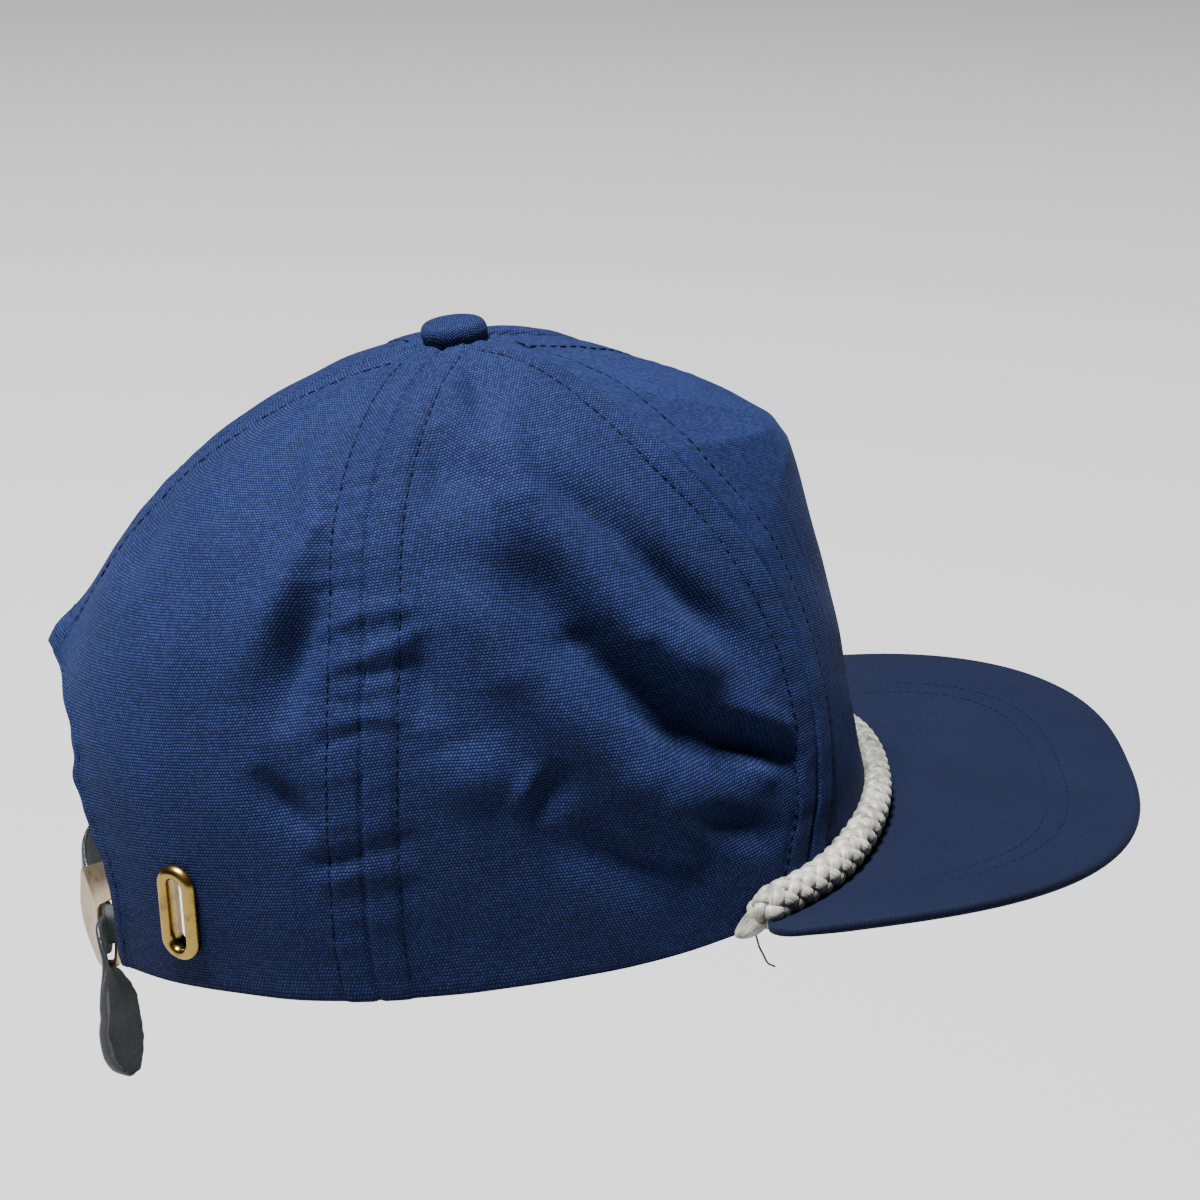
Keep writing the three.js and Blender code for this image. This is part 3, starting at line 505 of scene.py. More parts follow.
                ridges += depth
            else:
                valleys += depth
        return ridges ** (1 / self.meeting) - valleys ** (1 / self.meeting)

    def at_joint(self, table: Table, place: tuple, column: str) -> float:
        """Gives the mean of a column over the creases that end at a place."""
        at = table.columns.index(column)
        return float(np.mean([row[at] for row in table.rows if place in (row[1:3], row[3:5])]))

    def fold_height(self, side: Side, azimuth: Array, rise: Array) -> Array:
        """Gives how far the folded cloth stands off the smooth crown.

        Args:
            side: The wearer's side.
            azimuth: Degrees from the front.
            rise: From the rim, 0, to the button, 1.

        Returns:
            Millimetres, held back beside the seams.
        """
        girth = self.girth(rise)
        to_front = np.abs(azimuth - SEAMS.read("front", rise))
        to_side = np.abs(azimuth - SEAMS.read("side", rise))
        to_seam = girth * np.minimum(np.minimum(to_front, to_side), 180 - azimuth)
        free = smooth(to_seam, 0, self.seam_hold)
        across = girth * (180 - azimuth)
        up = (rise - self.flare_rise) * self.fold_length
        flare = self.flare_push * bump(across, self.flare_spread) * bump(up, self.flare_spread)
        main = self.creases(FOLDS, side, azimuth, rise)
        fine = self.creases(FINE_FOLDS, side, azimuth, rise)
        return self.strength * (main + fine) * free + flare


CROWN = Crown()


def grid_mesh(name: str, columns: int, rows: int) -> tuple:
    """Makes a flat grid.

    Args:
        name: The mesh's name.
        columns: Faces along the first direction.
        rows: Faces along the second.

    Returns:
        The mesh, and each vertex's place along both directions from 0 to 1.
    """
    work = bmesh.new()
    bmesh.ops.create_grid(work, x_segments=columns, y_segments=rows, size=0.5)
    mesh = finished(work, name)
    u, v, _ = (vertex_places(mesh) + 0.5).T
    return mesh, u, v


def finished(work: bmesh.types.BMesh, name: str) -> Mesh:
    """Turns worked geometry into a mesh of its own.

    Args:
        work: The geometry, which is freed.
        name: The mesh's name.

    Returns:
        The mesh.
    """
    mesh = bpy.data.meshes.new(name)
    work.to_mesh(mesh)
    work.free()
    return mesh


def vertex_places(mesh: Mesh) -> Array:
    """Reads where a mesh's vertices are.

    Args:
        mesh: The mesh.

    Returns:
        A row of three numbers for each vertex.
    """
    flat = np.empty(len(mesh.vertices) * 3)
    mesh.vertices.foreach_get("co", flat)
    return flat.reshape(-1, 3)


def place_vertices(mesh: Mesh, places: Array) -> None:
    """Moves a mesh's vertices to places on the cap, in millimetres."""
    mesh.vertices.foreach_set("co", PLACEMENT.points(places).ravel())
    mesh.update()


def lay_pattern(mesh: Mesh, across: Array, along: Array) -> None:
    """Gives a mesh a UV map in metres of cloth.

    Args:
        mesh: The mesh.
        across: Millimetres across the cloth, by vertex.
        along: Millimetres along it.
    """
    layer = mesh.uv_layers.new(name="cloth")
    corners = np.empty(len(mesh.loops), int)
    mesh.loops.foreach_get("vertex_index", corners)
    layer.data.foreach_set("uv", (np.stack([across, along], -1)[corners] * MM).ravel())


def paint(mesh: Mesh, name: str, values: Array) -> None:
    """Stores a number at each vertex for a finish to read."""
    layer = mesh.attributes.new(name, "FLOAT", "POINT")
    layer.data.foreach_set("value", values.astype(np.float32))


def weld(mesh: Mesh, caps: bool = False, distance: float = 1e-6) -> None:
    """Joins a rolled-up mesh where its edges meet and turns its faces outwards.

    Args:
        mesh: The mesh to close.
        caps: Whether its open ends are filled too.
        distance: How near two vertices are to be one, in metres.
    """
    work = bmesh.new()
    work.from_mesh(mesh)
    bmesh.ops.remove_doubles(work, verts=work.verts, dist=distance)
    if caps:
        rim = [edge for edge in work.edges if edge.is_boundary]
        bmesh.ops.holes_fill(work, edges=rim, sides=0)
    bmesh.ops.recalc_face_normals(work, faces=work.faces)
    work.to_mesh(mesh)
    work.free()


def joined(name: str, meshes: list) -> Mesh:
    """Joins several meshes into one.

    Args:
        name: The new mesh's name.
        meshes: The meshes.

    Returns:
        The new mesh.
    """
    work = bmesh.new()
    for mesh in meshes:
        work.from_mesh(mesh)
    return finished(work, name)


def show(
    name: str,
    mesh: Mesh,
    material: Material,
    stands_for: tuple[str, ...] = (),
) -> Object:
    """Puts a finished mesh in the scene as a piece of the cap.

    Args:
        name: The piece's name.
        mesh: Its mesh, in the part's frame.
        material: Its finish.
        stands_for: The frame's nodes that it replaces.

    Returns:
        The piece.
    """
    mesh.materials.clear()
    mesh.materials.append(material)
    mesh.shade_smooth()
    piece = bpy.data.objects.new(name, mesh)
    bpy.context.scene.collection.objects.link(piece)
    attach(piece, "root")
    if stands_for:
        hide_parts(*stands_for)
    LOG.info("%s: %d faces", name, len(mesh.polygons))
    return piece


def ring_sheet(name: str, rings: Array, closed: bool = False) -> Mesh:
    """Makes a mesh through rings of points.

    Args:
        name: The mesh's name.
        rings: Points in millimetres, as rings by points by 3.
        closed: Whether the last ring meets the first one.

    Returns:
        The mesh, with its seams not welded yet.
    """
    steps, sides = rings.shape[:2]
    rows = steps if closed else steps - 1
    mesh, u, v = grid_mesh(name, sides, rows)
    side = np.rint(u * sides).astype(int) % sides
    ring = np.rint(v * rows).astype(int) % steps
    place_vertices(mesh, rings[ring, side])
    return mesh


def ring_numbers(mesh: Mesh, sides: int) -> Array:
    """Gives each vertex's ring, and its side, in a sheet of rings that isn't welded yet."""
    return np.stack(np.divmod(np.arange(len(mesh.vertices)), sides + 1))


@dataclass
class Graph:
    """Adds nodes to a tree and joins them."""

    tree: NodeTree

    def node(self, kind: str, inputs: dict | None = None, **settings: object) -> Node:
        """Adds a node.

        Args:
            kind: Blender's name for the kind of node.
            inputs: What its sockets are fed, by name or number.
            settings: Its own settings.

        Returns:
            The node.
        """
        node = self.tree.nodes.new(kind)
        for name, value in settings.items():
            setattr(node, name, value)
        self.wire(node, inputs or {})
        return node

    def wire(self, node: Node, inputs: dict) -> None:
        """Feeds a node's sockets, by name or number."""
        for key, value in inputs.items():
            self.feed(node.inputs[key], value)

    def feed(self, socket: NodeSocket, value: object) -> None:
        """Joins a socket to another, or sets it to a number or colour.

        Args:
            socket: The socket that is fed.
            value: Another node's socket, a number or a colour.
        """
        if isinstance(value, NodeSocket):
            self.tree.links.new(value, socket)
        else:
            socket.default_value = value

    def math(self, operation: str, *values: object) -> NodeSocket:
        """Works a sum out of up to three values."""
        return self.node("ShaderNodeMath", dict(enumerate(values)), operation=operation).outputs[0]

    def add(self, a: object, b: object) -> NodeSocket:
        """Adds two values."""
        return self.math("ADD", a, b)

    def times(self, a: object, b: object) -> NodeSocket:
        """Multiplies two values."""
        return self.math("MULTIPLY", a, b)

    def remap(self, value: object, *limits: float) -> NodeSocket:
        """Stretches a value from its low and high limits to two others, held inside them."""
        return self.node("ShaderNodeMapRange", dict(enumerate((value, *limits)))).outputs[0]

    def blend(self, factor: object, a: object, b: object, kind: str = "MIX") -> NodeSocket:
        """Mixes two colours."""
        inputs = {0: factor, 6: a, 7: b}
        return self.node("ShaderNodeMix", inputs, data_type="RGBA", blend_type=kind).outputs[2]

    def noise(self, vector: object, scale: float, detail: float = 2, rough: float = 0.5) -> object:
        """Gives smooth noise from 0 to 1."""
        inputs = {"Vector": vector, "Scale": scale, "Detail": detail, "Roughness": rough}
        return self.node("ShaderNodeTexNoise", inputs).outputs["Fac"]

    def stretched(self, vector: object, scale: tuple) -> NodeSocket:
        """Scales a vector by a different amount along each axis."""
        return self.node("ShaderNodeMapping", {"Vector": vector, "Scale": scale}).outputs[0]

    def cloth_map(self) -> NodeSocket:
        """Reads the piece's own UV map, in metres of cloth."""
        return self.node("ShaderNodeUVMap", uv_map="cloth").outputs[0]

    def spot(self) -> NodeSocket:
        """Reads the place on the piece, in metres of its own space."""
        return self.node("ShaderNodeTexCoord").outputs["Object"]


def new_group(name: str, inputs: dict, outputs: dict) -> tuple:
    """Makes an empty node group.

    Args:
        name: The group's name.
        inputs: Its inputs as name to a kind of socket and a first value.
        outputs: Its outputs as name to a kind of socket.

    Returns:
        The group's tree, a graph to fill it, its input node and its output node.
    """
    tree = bpy.data.node_groups.new(name, "ShaderNodeTree")
    for label, (kind, value) in inputs.items():
        socket = tree.interface.new_socket(label, in_out="INPUT", socket_type=kind)
        if value is not None:
            socket.default_value = value
    for label, kind in outputs.items():
        tree.interface.new_socket(label, in_out="OUTPUT", socket_type=kind)
    graph = Graph(tree)
    return tree, graph, graph.node("NodeGroupInput"), graph.node("NodeGroupOutput")


def plain_weave_group() -> NodeTree:
    """Makes the plain weave: threads that pass over and under each other on a UV map in metres.

    Returns:
        A group that puts out the threads' height and a tone that differs from float to float.
    """
    tree, g, given, out = new_group(
        "plain_weave",
        {
            "Vector": ("NodeSocketVector", None),
            "Across": ("NodeSocketFloat", 0.0008),
            "Along": ("NodeSocketFloat", 0.0008),
        },
        {"Height": "NodeSocketFloat", "Tone": "NodeSocketFloat"},
    )
    split = g.node("ShaderNodeSeparateXYZ", {0: given.outputs["Vector"]})
    wander_x = g.noise(given.outputs["Vector"], 260, 1)
    wander_y = g.noise(given.outputs["Vector"], 230, 1)
    x = g.add(g.math("DIVIDE", split.outputs[0], given.outputs["Across"]), g.times(wander_x, 0.7))
    y = g.add(g.math("DIVIDE", split.outputs[1], given.outputs["Along"]), g.times(wander_y, 0.7))
    row = g.math("FLOOR", y)
    sine_y = g.math("SINE", g.times(g.math("FRACT", y), math.pi))
    swing = g.math("COSINE", g.times(g.add(x, row), math.pi))
    dash = g.math("POWER", g.add(g.times(swing, 0.5), 0.5), 0.7)
    height = g.times(g.math("POWER", sine_y, 0.6), g.add(g.times(dash, 0.7), 0.3))
    column = g.math("FLOOR", g.times(g.add(g.add(x, row), 1.0), 0.5))
    cell = g.node("ShaderNodeCombineXYZ", {0: column, 1: row}).outputs[0]
    tone = g.node("ShaderNodeTexWhiteNoise", noise_dimensions="2D")
    g.feed(tone.inputs["Vector"], cell)
    g.wire(out, {"Height": height, "Tone": tone.outputs["Value"]})
    return tree


def lint_group() -> NodeTree:
    """Makes sparse specks of lint.

    Returns:
        A group that puts out a mask of the specks.
    """
    tree, g, given, out = new_group(
        "lint", {"Vector": ("NodeSocketVector", None)}, {"Mask": "NodeSocketFloat"}
    )
    inputs = {"Vector": given.outputs["Vector"], "Scale": 90}
    cells = g.node("ShaderNodeTexVoronoi", inputs, feature="F1")
    colour = g.node("ShaderNodeSeparateColor", {0: cells.outputs["Color"]})
    chosen = g.math("GREATER_THAN", colour.outputs[0], 0.985)
    near = g.math("LESS_THAN", cells.outputs["Distance"], 0.025)
    g.wire(out, {"Mask": g.times(chosen, near)})
    return tree


def opaque(colour: tuple, strength: float = 1) -> tuple:
    """Gives a colour, made darker or brighter, with full cover."""
    return (*(strength * channel for channel in colour), 1)


@dataclass(frozen=True)
class Finish:
    """A named finish that makes its own material."""

    name: str

    def material(self) -> Material:
        """Makes the material.

        Returns:
            The material, its surface shader dressed.
        """
        material = bpy.data.materials.new(self.name)
        material.use_nodes = True
        self.dress(Graph(material.node_tree), material.node_tree.nodes["Principled BSDF"])
        return material

    def dress(self, g: Graph, shader: Node) -> None:
        """Feeds the surface shader."""
        raise NotImplementedError

    def raised(self, g: Graph, height: NodeSocket, depth: float) -> NodeSocket:
        """Gives the bumped normal of a height from 0 to 1, of a depth in metres."""
        return g.node("ShaderNodeBump", {"Distance": depth, "Height": height}).outputs[0]


@dataclass(frozen=True)
class WovenFinish(Finish):
    """Matte woven cloth."""

    weave: NodeTree
    lint: NodeTree
    colour: tuple = (0.0062, 0.0114, 0.045)
    lint_colour: tuple = (0.55, 0.58, 0.62)
    sheen_colour: tuple = (0.25, 0.38, 0.75)
    across: float = 0.00041
    along: float = 0.00072
    painted_weave_shade: float = 0.95
    sparkle: float = 0.3
    depth: float = 0.00016
    sheen: float = 0.035
    sheen_roughness: float = 0.45
    roughness: float = 0.78
    gloss: float = 0.07

    def dress(self, g: Graph, shader: Node) -> None:
        """Feeds the surface shader.

        Args:
            g: Adds the nodes.
            shader: The surface shader.
        """
        spot = g.spot()
        inputs = {"Vector": g.cloth_map(), "Across": self.across, "Along": self.along}
        weave = g.node("ShaderNodeGroup", inputs, node_tree=self.weave)
        height = weave.outputs["Height"]
        # Painted shade and highlight: the weave's height darkens the gaps between threads and lightens
        # the threads' tops
        shade = g.remap(height, 0.1, 0.95, 1 - self.painted_weave_shade, 1 + 0.8 * self.painted_weave_shade)
        tone = g.remap(weave.outputs["Tone"], 0, 1, 1 - self.sparkle, 1 + self.sparkle)
        mottle = g.remap(g.noise(spot, 45, 3), 0.3, 0.7, 0.9, 1.1)
        level = g.times(g.times(shade, tone), mottle)
        grey = g.node("ShaderNodeCombineColor", {0: level, 1: level, 2: level}).outputs[0]
        dye_and_painted_shade = g.blend(1.0, opaque(self.colour), grey, "MULTIPLY")
        specks = g.node("ShaderNodeGroup", {"Vector": spot}, node_tree=self.lint).outputs["Mask"]
        dressed = {
            "Base Color": g.blend(specks, dye_and_painted_shade, opaque(self.lint_colour)),
            "Roughness": self.roughness,
            "Specular IOR Level": self.gloss,
            "Sheen Weight": self.sheen,
            "Sheen Roughness": self.sheen_roughness,
            "Sheen Tint": opaque(self.sheen_colour),
            "Normal": self.raised(g, height, self.depth),
        }
        g.wire(shader, dressed)


@dataclass(frozen=True)
class ThreadFinish(Finish):
    """Sewing thread or a strand, with a fine twist."""

    colour: tuple = (0.0016, 0.003, 0.014)
    roughness: float = 0.85
    gloss: float = 0.1

    def dress(self, g: Graph, shader: Node) -> None:
        """Feeds the surface shader.

        Args:
            g: Adds the nodes.
            shader: The surface shader.
        """
        tone = g.remap(g.noise(g.spot(), 900, 1), 0.3, 0.7, 0, 1)
        twisted = g.blend(tone, opaque(self.colour, 0.6), opaque(self.colour, 1.5))
        dressed = {"Base Color": twisted, "Roughness": self.roughness, "Specular IOR Level": self.gloss}
        g.wire(shader, dressed)


@dataclass(frozen=True)
class BraidFinish(Finish):
    """Silky white strands with fibres that run along them."""

    colour: tuple = (0.31, 0.302, 0.255)
    shadow: tuple = (0.055, 0.053, 0.040)
    roughness: float = 0.42
    sheen: float = 0.2
    glow: float = 0.12
    glow_reach: tuple = (0.001, 0.001, 0.0008)
    depth: float = 0.0002

    def dress(self, g: Graph, shader: Node) -> None:
        """Feeds the surface shader.

        Args:
            g: Adds the nodes.
            shader: The surface shader.
        """
        fibres = g.noise(g.stretched(g.cloth_map(), (3500, 260, 1)), 1.0, 2, 0.6)
        # Painted shade: streaks along the fibres are darkened towards the shadow colour
        painted_fibre_shade = g.remap(g.times(fibres, g.noise(g.spot(), 220, 2)), 0.12, 0.36, 0, 1)
        dressed = {
            "Base Color": g.blend(painted_fibre_shade, opaque(self.shadow), opaque(self.colour)),
            "Roughness": self.roughness,
            "Sheen Weight": self.sheen,
            "Subsurface Weight": self.glow,
            "Subsurface Radius": self.glow_reach,
            "Normal": self.raised(g, fibres, self.depth),
        }
        g.wire(shader, dressed)


@dataclass(frozen=True)
class LeatherFinish(Finish):
    """Black leather: a glossy wrinkled grain side, and suede where the grain attribute is 0."""

    grain_colour: tuple = (0.010, 0.012, 0.014)
    suede_colour: tuple = (0.030, 0.038, 0.038)
    nap_colour: tuple = (0.07, 0.082, 0.08)
    grain_roughness: float = 0.3
    suede_roughness: float = 0.92
    depth: float = 0.00035

    def dress(self, g: Graph, shader: Node) -> None:
        """Feeds the surface shader.

        Args:
            g: Adds the nodes.
            shader: The surface shader.
        """
        uv, spot = g.cloth_map(), g.spot()
        side = g.node("ShaderNodeAttribute", attribute_name="grain").outputs["Fac"]
        grain = g.remap(side, 0.4, 0.6, 0, 1)
        nap = g.noise(spot, 1500, 3, 0.7)
        cloud = g.remap(g.noise(spot, 160, 3), 0.35, 0.65, 0, 1)
        soft = g.blend(cloud, opaque(self.suede_colour, 0.6), opaque(self.suede_colour))
        soft = g.blend(g.remap(nap, 0.35, 0.7, 0, 0.5), soft, opaque(self.nap_colour))
        cross = g.noise(g.stretched(uv, (500, 1500, 1)), 1.0, 3, 0.65)
        pores = g.noise(uv, 1700, 2, 0.6)
        wrinkle = g.add(g.times(cross, 0.75), g.times(pores, 0.25))
        height = g.add(g.times(grain, wrinkle), g.times(g.math("SUBTRACT", 1.0, grain), nap))
        dressed = {
            "Base Color": g.blend(grain, soft, opaque(self.grain_colour)),
            "Roughness": g.remap(grain, 0, 1, self.suede_roughness, self.grain_roughness),
            "Normal": self.raised(g, height, self.depth),
        }
        g.wire(shader, dressed)


@dataclass(frozen=True)
class BrassFinish(Finish):
    """Brass, polished or satin, with smudges and fine scratches."""

    colour: tuple = (0.29, 0.195, 0.052)
    tarnish: tuple = (0.09, 0.055, 0.018)
    smudge: float = 0.35
    roughness: float = 0.2
    scratch: float = 0.00003

    def dress(self, g: Graph, shader: Node) -> None:
        """Feeds the surface shader.

        Args:
            g: Adds the nodes.
            shader: The surface shader.
        """
        spot = g.spot()
        cloud = g.noise(spot, 260, 4, 0.6)
        stain = g.remap(cloud, 0.5, 0.72, 0, self.smudge)
        lines = g.noise(g.stretched(spot, (300, 2600, 2600)), 1.0, 2, 0.7)
        dressed = {
            "Base Color": g.blend(stain, opaque(self.colour), opaque(self.tarnish)),
            "Metallic": 1,
            "Roughness": g.add(g.remap(cloud, 0.3, 0.7, -0.05, 0.12), self.roughness),
            "Normal": self.raised(g, lines, self.scratch),
        }
        g.wire(shader, dressed)


@dataclass(frozen=True)
class Paint(Finish):
    """A plain matte colour."""

    colour: tuple = (0.34, 0.34, 0.344)
    roughness: float = 0.9

    def dress(self, g: Graph, shader: Node) -> None:
        """Feeds the surface shader."""
        g.wire(shader, {"Base Color": opaque(self.colour), "Roughness": self.roughness})


@dataclass
class Finishes:
    """All finishes of the cap."""

    def __post_init__(self) -> None:
        """Makes the materials."""
        weave, lint = plain_weave_group(), lint_group()
        self.cloth = WovenFinish("navy_weave", weave, lint).material()
        self.front = WovenFinish(
            "front_weave", weave, lint, along=0.00062, painted_weave_shade=0.5, depth=0.00008
        ).material()
        self.button = WovenFinish("button_weave", weave, lint, along=0.0006).material()
        self.visor = WovenFinish(
            "visor_weave",
            weave,
            lint,
            colour=(0.0024, 0.0042, 0.0140),
            along=0.0005,
            painted_weave_shade=0.4,
            depth=0.00006,
            sparkle=0.12,
            sheen=0.02,
        ).material()
        self.thread = ThreadFinish("navy_thread").material()
        self.loose = ThreadFinish("green_thread", colour=(0.015, 0.09, 0.05)).material()
        self.braid = BraidFinish("white_braid").material()
        self.leather = LeatherFinish("leather").material()
        self.eyelet = BrassFinish("eyelet_brass", smudge=0.6).material()
        self.buckle = BrassFinish(
            "buckle_brass",
            colour=(0.46, 0.36, 0.21),
            tarnish=(0.22, 0.165, 0.09),
            roughness=0.32,
            scratch=0.00006,
        ).material()


@dataclass
class Stitching:
    """Short stitches laid end to end along lines on the cloth."""

    length: float = 2.2
    gap: float = 0.6
    width: float = 0.55
    proud: float = 0.16
    sunk: float = 0.1
    overlap: float = 1.06
    seed: int = 7
    pieces: list = field(default_factory=list)

    def __post_init__(self) -> None:
        """Makes the one stitch that is repeated."""
        work = bmesh.new()
        bmesh.ops.create_uvsphere(work, u_segments=6, v_segments=5, radius=0.5)
        self.model = finished(work, "stitch")
        self.draw = np.random.default_rng(self.seed)

    def run(self, points: Array, normals: Array) -> None:
        """Lays stitches along a line.

        Args:
            points: The line, close together, in millimetres on the cap.
            normals: The cloth's outward directions there.
        """
        reach = reach_along(points)
        place = self.gap
        while place + self.length < reach[-1]:
            span = self.length * self.draw.uniform(0.85, 1.1)
            start, end = (row_at(at, reach, points) for at in (place, place + span))
            normal = row_at(place + span / 2, reach, normals).normalized()
            along = (end - start).normalized()
            across = normal.cross(along).normalized()
            lift = along.cross(across).normalized()
            middle = (start + end) / 2 + lift * (self.proud - self.sunk)
            axes = along * span * self.overlap, across * self.width, lift * self.width
            stitch = self.model.copy()
            stitch.transform(Matrix.Translation(middle) @ Matrix(axes).transposed().to_4x4())
            self.pieces.append(stitch)
            place += span + self.gap * self.draw.uniform(0.8, 1.2)

    def mesh(self, name: str) -> Mesh:
        """Joins the stitches in the part's frame.

        Args:
            name: The mesh's name.

        Returns:
            The mesh.
        """
        made = joined(name, self.pieces)
        place_vertices(made, vertex_places(made))
        return made


@dataclass
class Layout:
    """Where points lie on a panel: by the crown, and in millimetres of its cloth."""

    azimuth: Array
    rise: Array
    from_first: Array
    from_last: Array
    length: Array


@dataclass
class Panel:
    """A panel of the crown between two seams, as a sheet that is given its thickness."""

    name: str
    side: Side
    first: Seam
    last: Seam
    columns: int = 110
    rows: int = 190
    wall: float = 1.3
    top: float = 0.968
    stitch_inset: float = 8
    sewn_inset: float = 8
    stitch_low: float = 0.01
    stitch_high: float = 0.93
    band_edge: float = 9.5
    band_lift: float = 0.5
    dimple: float = 0.5
    groove: float = 0.8
    lap: float = 0.3
    hem_inset: float = 2.6
    hem_lift: float = 0.45
    hem_dimple: float = 0.4
    backing: tuple = ((12.5, 0.16), (15.5, 0.12), (19, 0.14))
    wave: float = 0.28
    edge_round: float = 0.45
    edge_angle: float = 60
    seed: int = 3
    fine: float = 0.55
    fine_columns: int = 24

    @property
    def is_back(self) -> bool:
        """Whether the panel ends at the back arch."""
        return self.last is Seam.BACK

    def arch_azimuth(self, rise: Array) -> Array:
        """Gives where the back arch cuts rows of the cloth.

        Args:
            rise: Each row's rise.

        Returns:
            Each row's azimuth at the arch, or 180 above it.
        """
        azimuths = np.linspace(100, 180, 400)
        edge = np.full(rise.shape, 180.0)
        for i, level in enumerate(rise):
            points = CROWN.smooth_point(azimuths, level)
            half_width = ARCH.read("half_width", points[:, 2])
            gap = np.abs(points[:, 0]) - np.where(points[:, 2] > ARCH.rows[-1][0], 0, half_width)
            if (gap < 0).any():
                inside = np.argmax(gap < 0)
                before = max(inside - 1, 0)
                fall = gap[before] - gap[inside]
                t = gap[before] / fall if fall > 0 else 1
                edge[i] = mix(azimuths[before], azimuths[inside], t)
        return edge

    def row_rises(self) -> Array:
        """Spaces the rows, closer together round the arch's top.

        Returns:
            The rise of each row.
        """
        fine = np.linspace(0, self.top, 2000)
        crowd = 1 + 3 * bump(fine - self.arch_rise(), 0.02) if self.is_back else 1 + 0 * fine
        share = np.concatenate([[0], np.cumsum(crowd[1:])])
        return np.interp(np.linspace(0, share[-1], self.rows + 1), share, fine)

    def arch_rise(self) -> float:
        """Finds the arch's top on the middle line.

        Returns:
            Its rise.
        """
        rises = np.linspace(0, 1, 800)
        height = CROWN.smooth_point(180.0, rises)[:, 2]
        return float(np.interp(ARCH.rows[-1][0], height, rises))

    def seam_azimuth(self, seam: Seam, rise: Array) -> Array:
        """Gives a seam's azimuth, negative for the one across the front's middle.

        Args:
            seam: The seam.
            rise: The rise of each place on it.

        Returns:
            Its azimuths.
        """
        if seam is Seam.BACK:
            return self.arch_azimuth(rise)
        if seam is Seam.OTHER_FRONT:
            return -SEAMS.read("front", rise)
        return SEAMS.read(seam.value, rise)

    def across_row(self, start: float, end: float, rise: float, count: int) -> tuple:
        """Gives azimuths across a row of the cloth, and how far each is from the row's start."""
        samples = np.linspace(start, end, count)
        return samples, reach_along(self.mirrored(samples, CROWN.smooth_point(np.abs(samples), rise)))

    def lay_out(self, u: Array, v: Array) -> tuple:
        """Works out where each vertex of the grid lies.

        Args:
            u: Places across the panel from 0 to 1.
            v: Places up it from 0 to 1.

        Returns:
            The vertices' layout, and millimetres across the cloth for its weave.
        """
        rises = self.row_rises()
        first, last = (self.seam_azimuth(seam, rises) for seam in (self.first, self.last))
        share = np.arange(self.columns + 1.0)
        azimuth = np.empty((len(rises), len(share)))
        width = np.empty(len(rises))
        lap = self.lap / np.maximum(CROWN.girth(rises), 0.3)
        start, end = first - lap, last + lap * (last > 179.9 if self.is_back else 1)
        for i, rise in enumerate(rises):
            samples, reach = self.across_row(start[i], end[i], rise, 80)
            width[i] = reach[-1]
            azimuth[i] = np.interp(self.spread(share, width[i]), reach, samples)
        middle = (first + (180 if self.is_back else last)) / 2
        length = reach_along(self.mirrored(middle, CROWN.smooth_point(np.abs(middle), rises)))
        column = np.rint(u * self.columns).astype(int)
        row = np.rint(v * self.rows).astype(int)
        across = self.spread(share[column], width[row])
        layout = Layout(
            azimuth[row, column],
            rises[row],
            np.abs(across - self.lap),
            np.abs(width[row] - across - self.lap),
            length[row],
        )
        return layout, across - (0 if self.is_back else width[row] / 2)

    def spread(self, column: Array, width: Array) -> Array:
        """Spaces the columns, finer near both seams.

        Args:
            column: Each column's number.
            width: The row's width.

        Returns:
            Each column's distance from the first seam.
        """
        near = self.fine * self.fine_columns
        squeeze = np.minimum(1, width / (2.6 * near))
        edge = near * squeeze
        inner = self.columns - 2 * self.fine_columns
        low = column * self.fine * squeeze
        high = width - (self.columns - column) * self.fine * squeeze
        between = edge + (column - self.fine_columns) / inner * (width - 2 * edge)
        is_low = column <= self.fine_columns
        is_high = column >= self.columns - self.fine_columns
        return np.where(is_low, low, np.where(is_high, high, between))

    def own_side(self, azimuth: Array) -> Array:
        """Gives 1 for places on the wearer's right and -1 for places on the left."""
        return np.where(azimuth < 0, -1, 1) * self.side.value

    def mirrored(self, azimuth: Array, points: Array) -> Array:
        """Puts points worked out on the right onto the side that they belong to."""
        return points * np.stack(np.broadcast_arrays(self.own_side(azimuth), 1, 1), -1)

    def seam_band(self, distance: Array, place: Layout, puckered: bool) -> Array:
        """Gives the relief of a sewn seam.

        Args:
            distance: Millimetres from the seam.
            place: The layout of the vertices.
            puckered: Whether the band has the side seam's cross puckers.

        Returns:
            Height off the cloth's mean face.
        """
        lift = self.band_lift * (1 - smooth(distance, self.stitch_inset, self.stitch_inset + 1.4))
        dimple = -self.dimple * bump(distance - self.stitch_inset, 0.85)
        groove = -self.groove * bump(distance, 0.75)
        relief = lift + dimple + groove
        window = 1 - smooth(distance, self.band_edge - 2, self.band_edge + 7)
        if puckered:
            draw = np.random.default_rng(self.seed)
            for rise, push, spread in PUCKERS.rows:
                strength, slant = draw.uniform(0.4, 1.6), draw.uniform(-0.35, 0.35)
                across = (place.rise - rise) * CROWN.fold_length + slant * distance
                relief = relief + strength * push * bump(across, 0.8 * spread) * window
        fine = Ripple(self.seed + 40, 5, 11, 10).height(0.25 * distance, place.length)
        return relief + 0.14 * fine * window

    def hem(self, distance: Array, place: Layout) -> Array:
        """Gives the relief of the turned edge round the arch.

        Args:
            distance: Millimetres from the edge.
            place: The layout of the vertices.

        Returns:
            Height off the cloth's mean face.
        """
        lift = self.hem_lift * (1 - smooth(distance, self.hem_inset + 0.2, self.hem_inset + 1.6))
        dimple = self.hem_dimple * bump(distance - self.hem_inset, 0.7)
        wave = Ripple(self.seed + 60, 7, 20, 8).height(0.2 * distance, place.length)
        return lift - dimple + 0.25 * wave * bump(distance, 6)

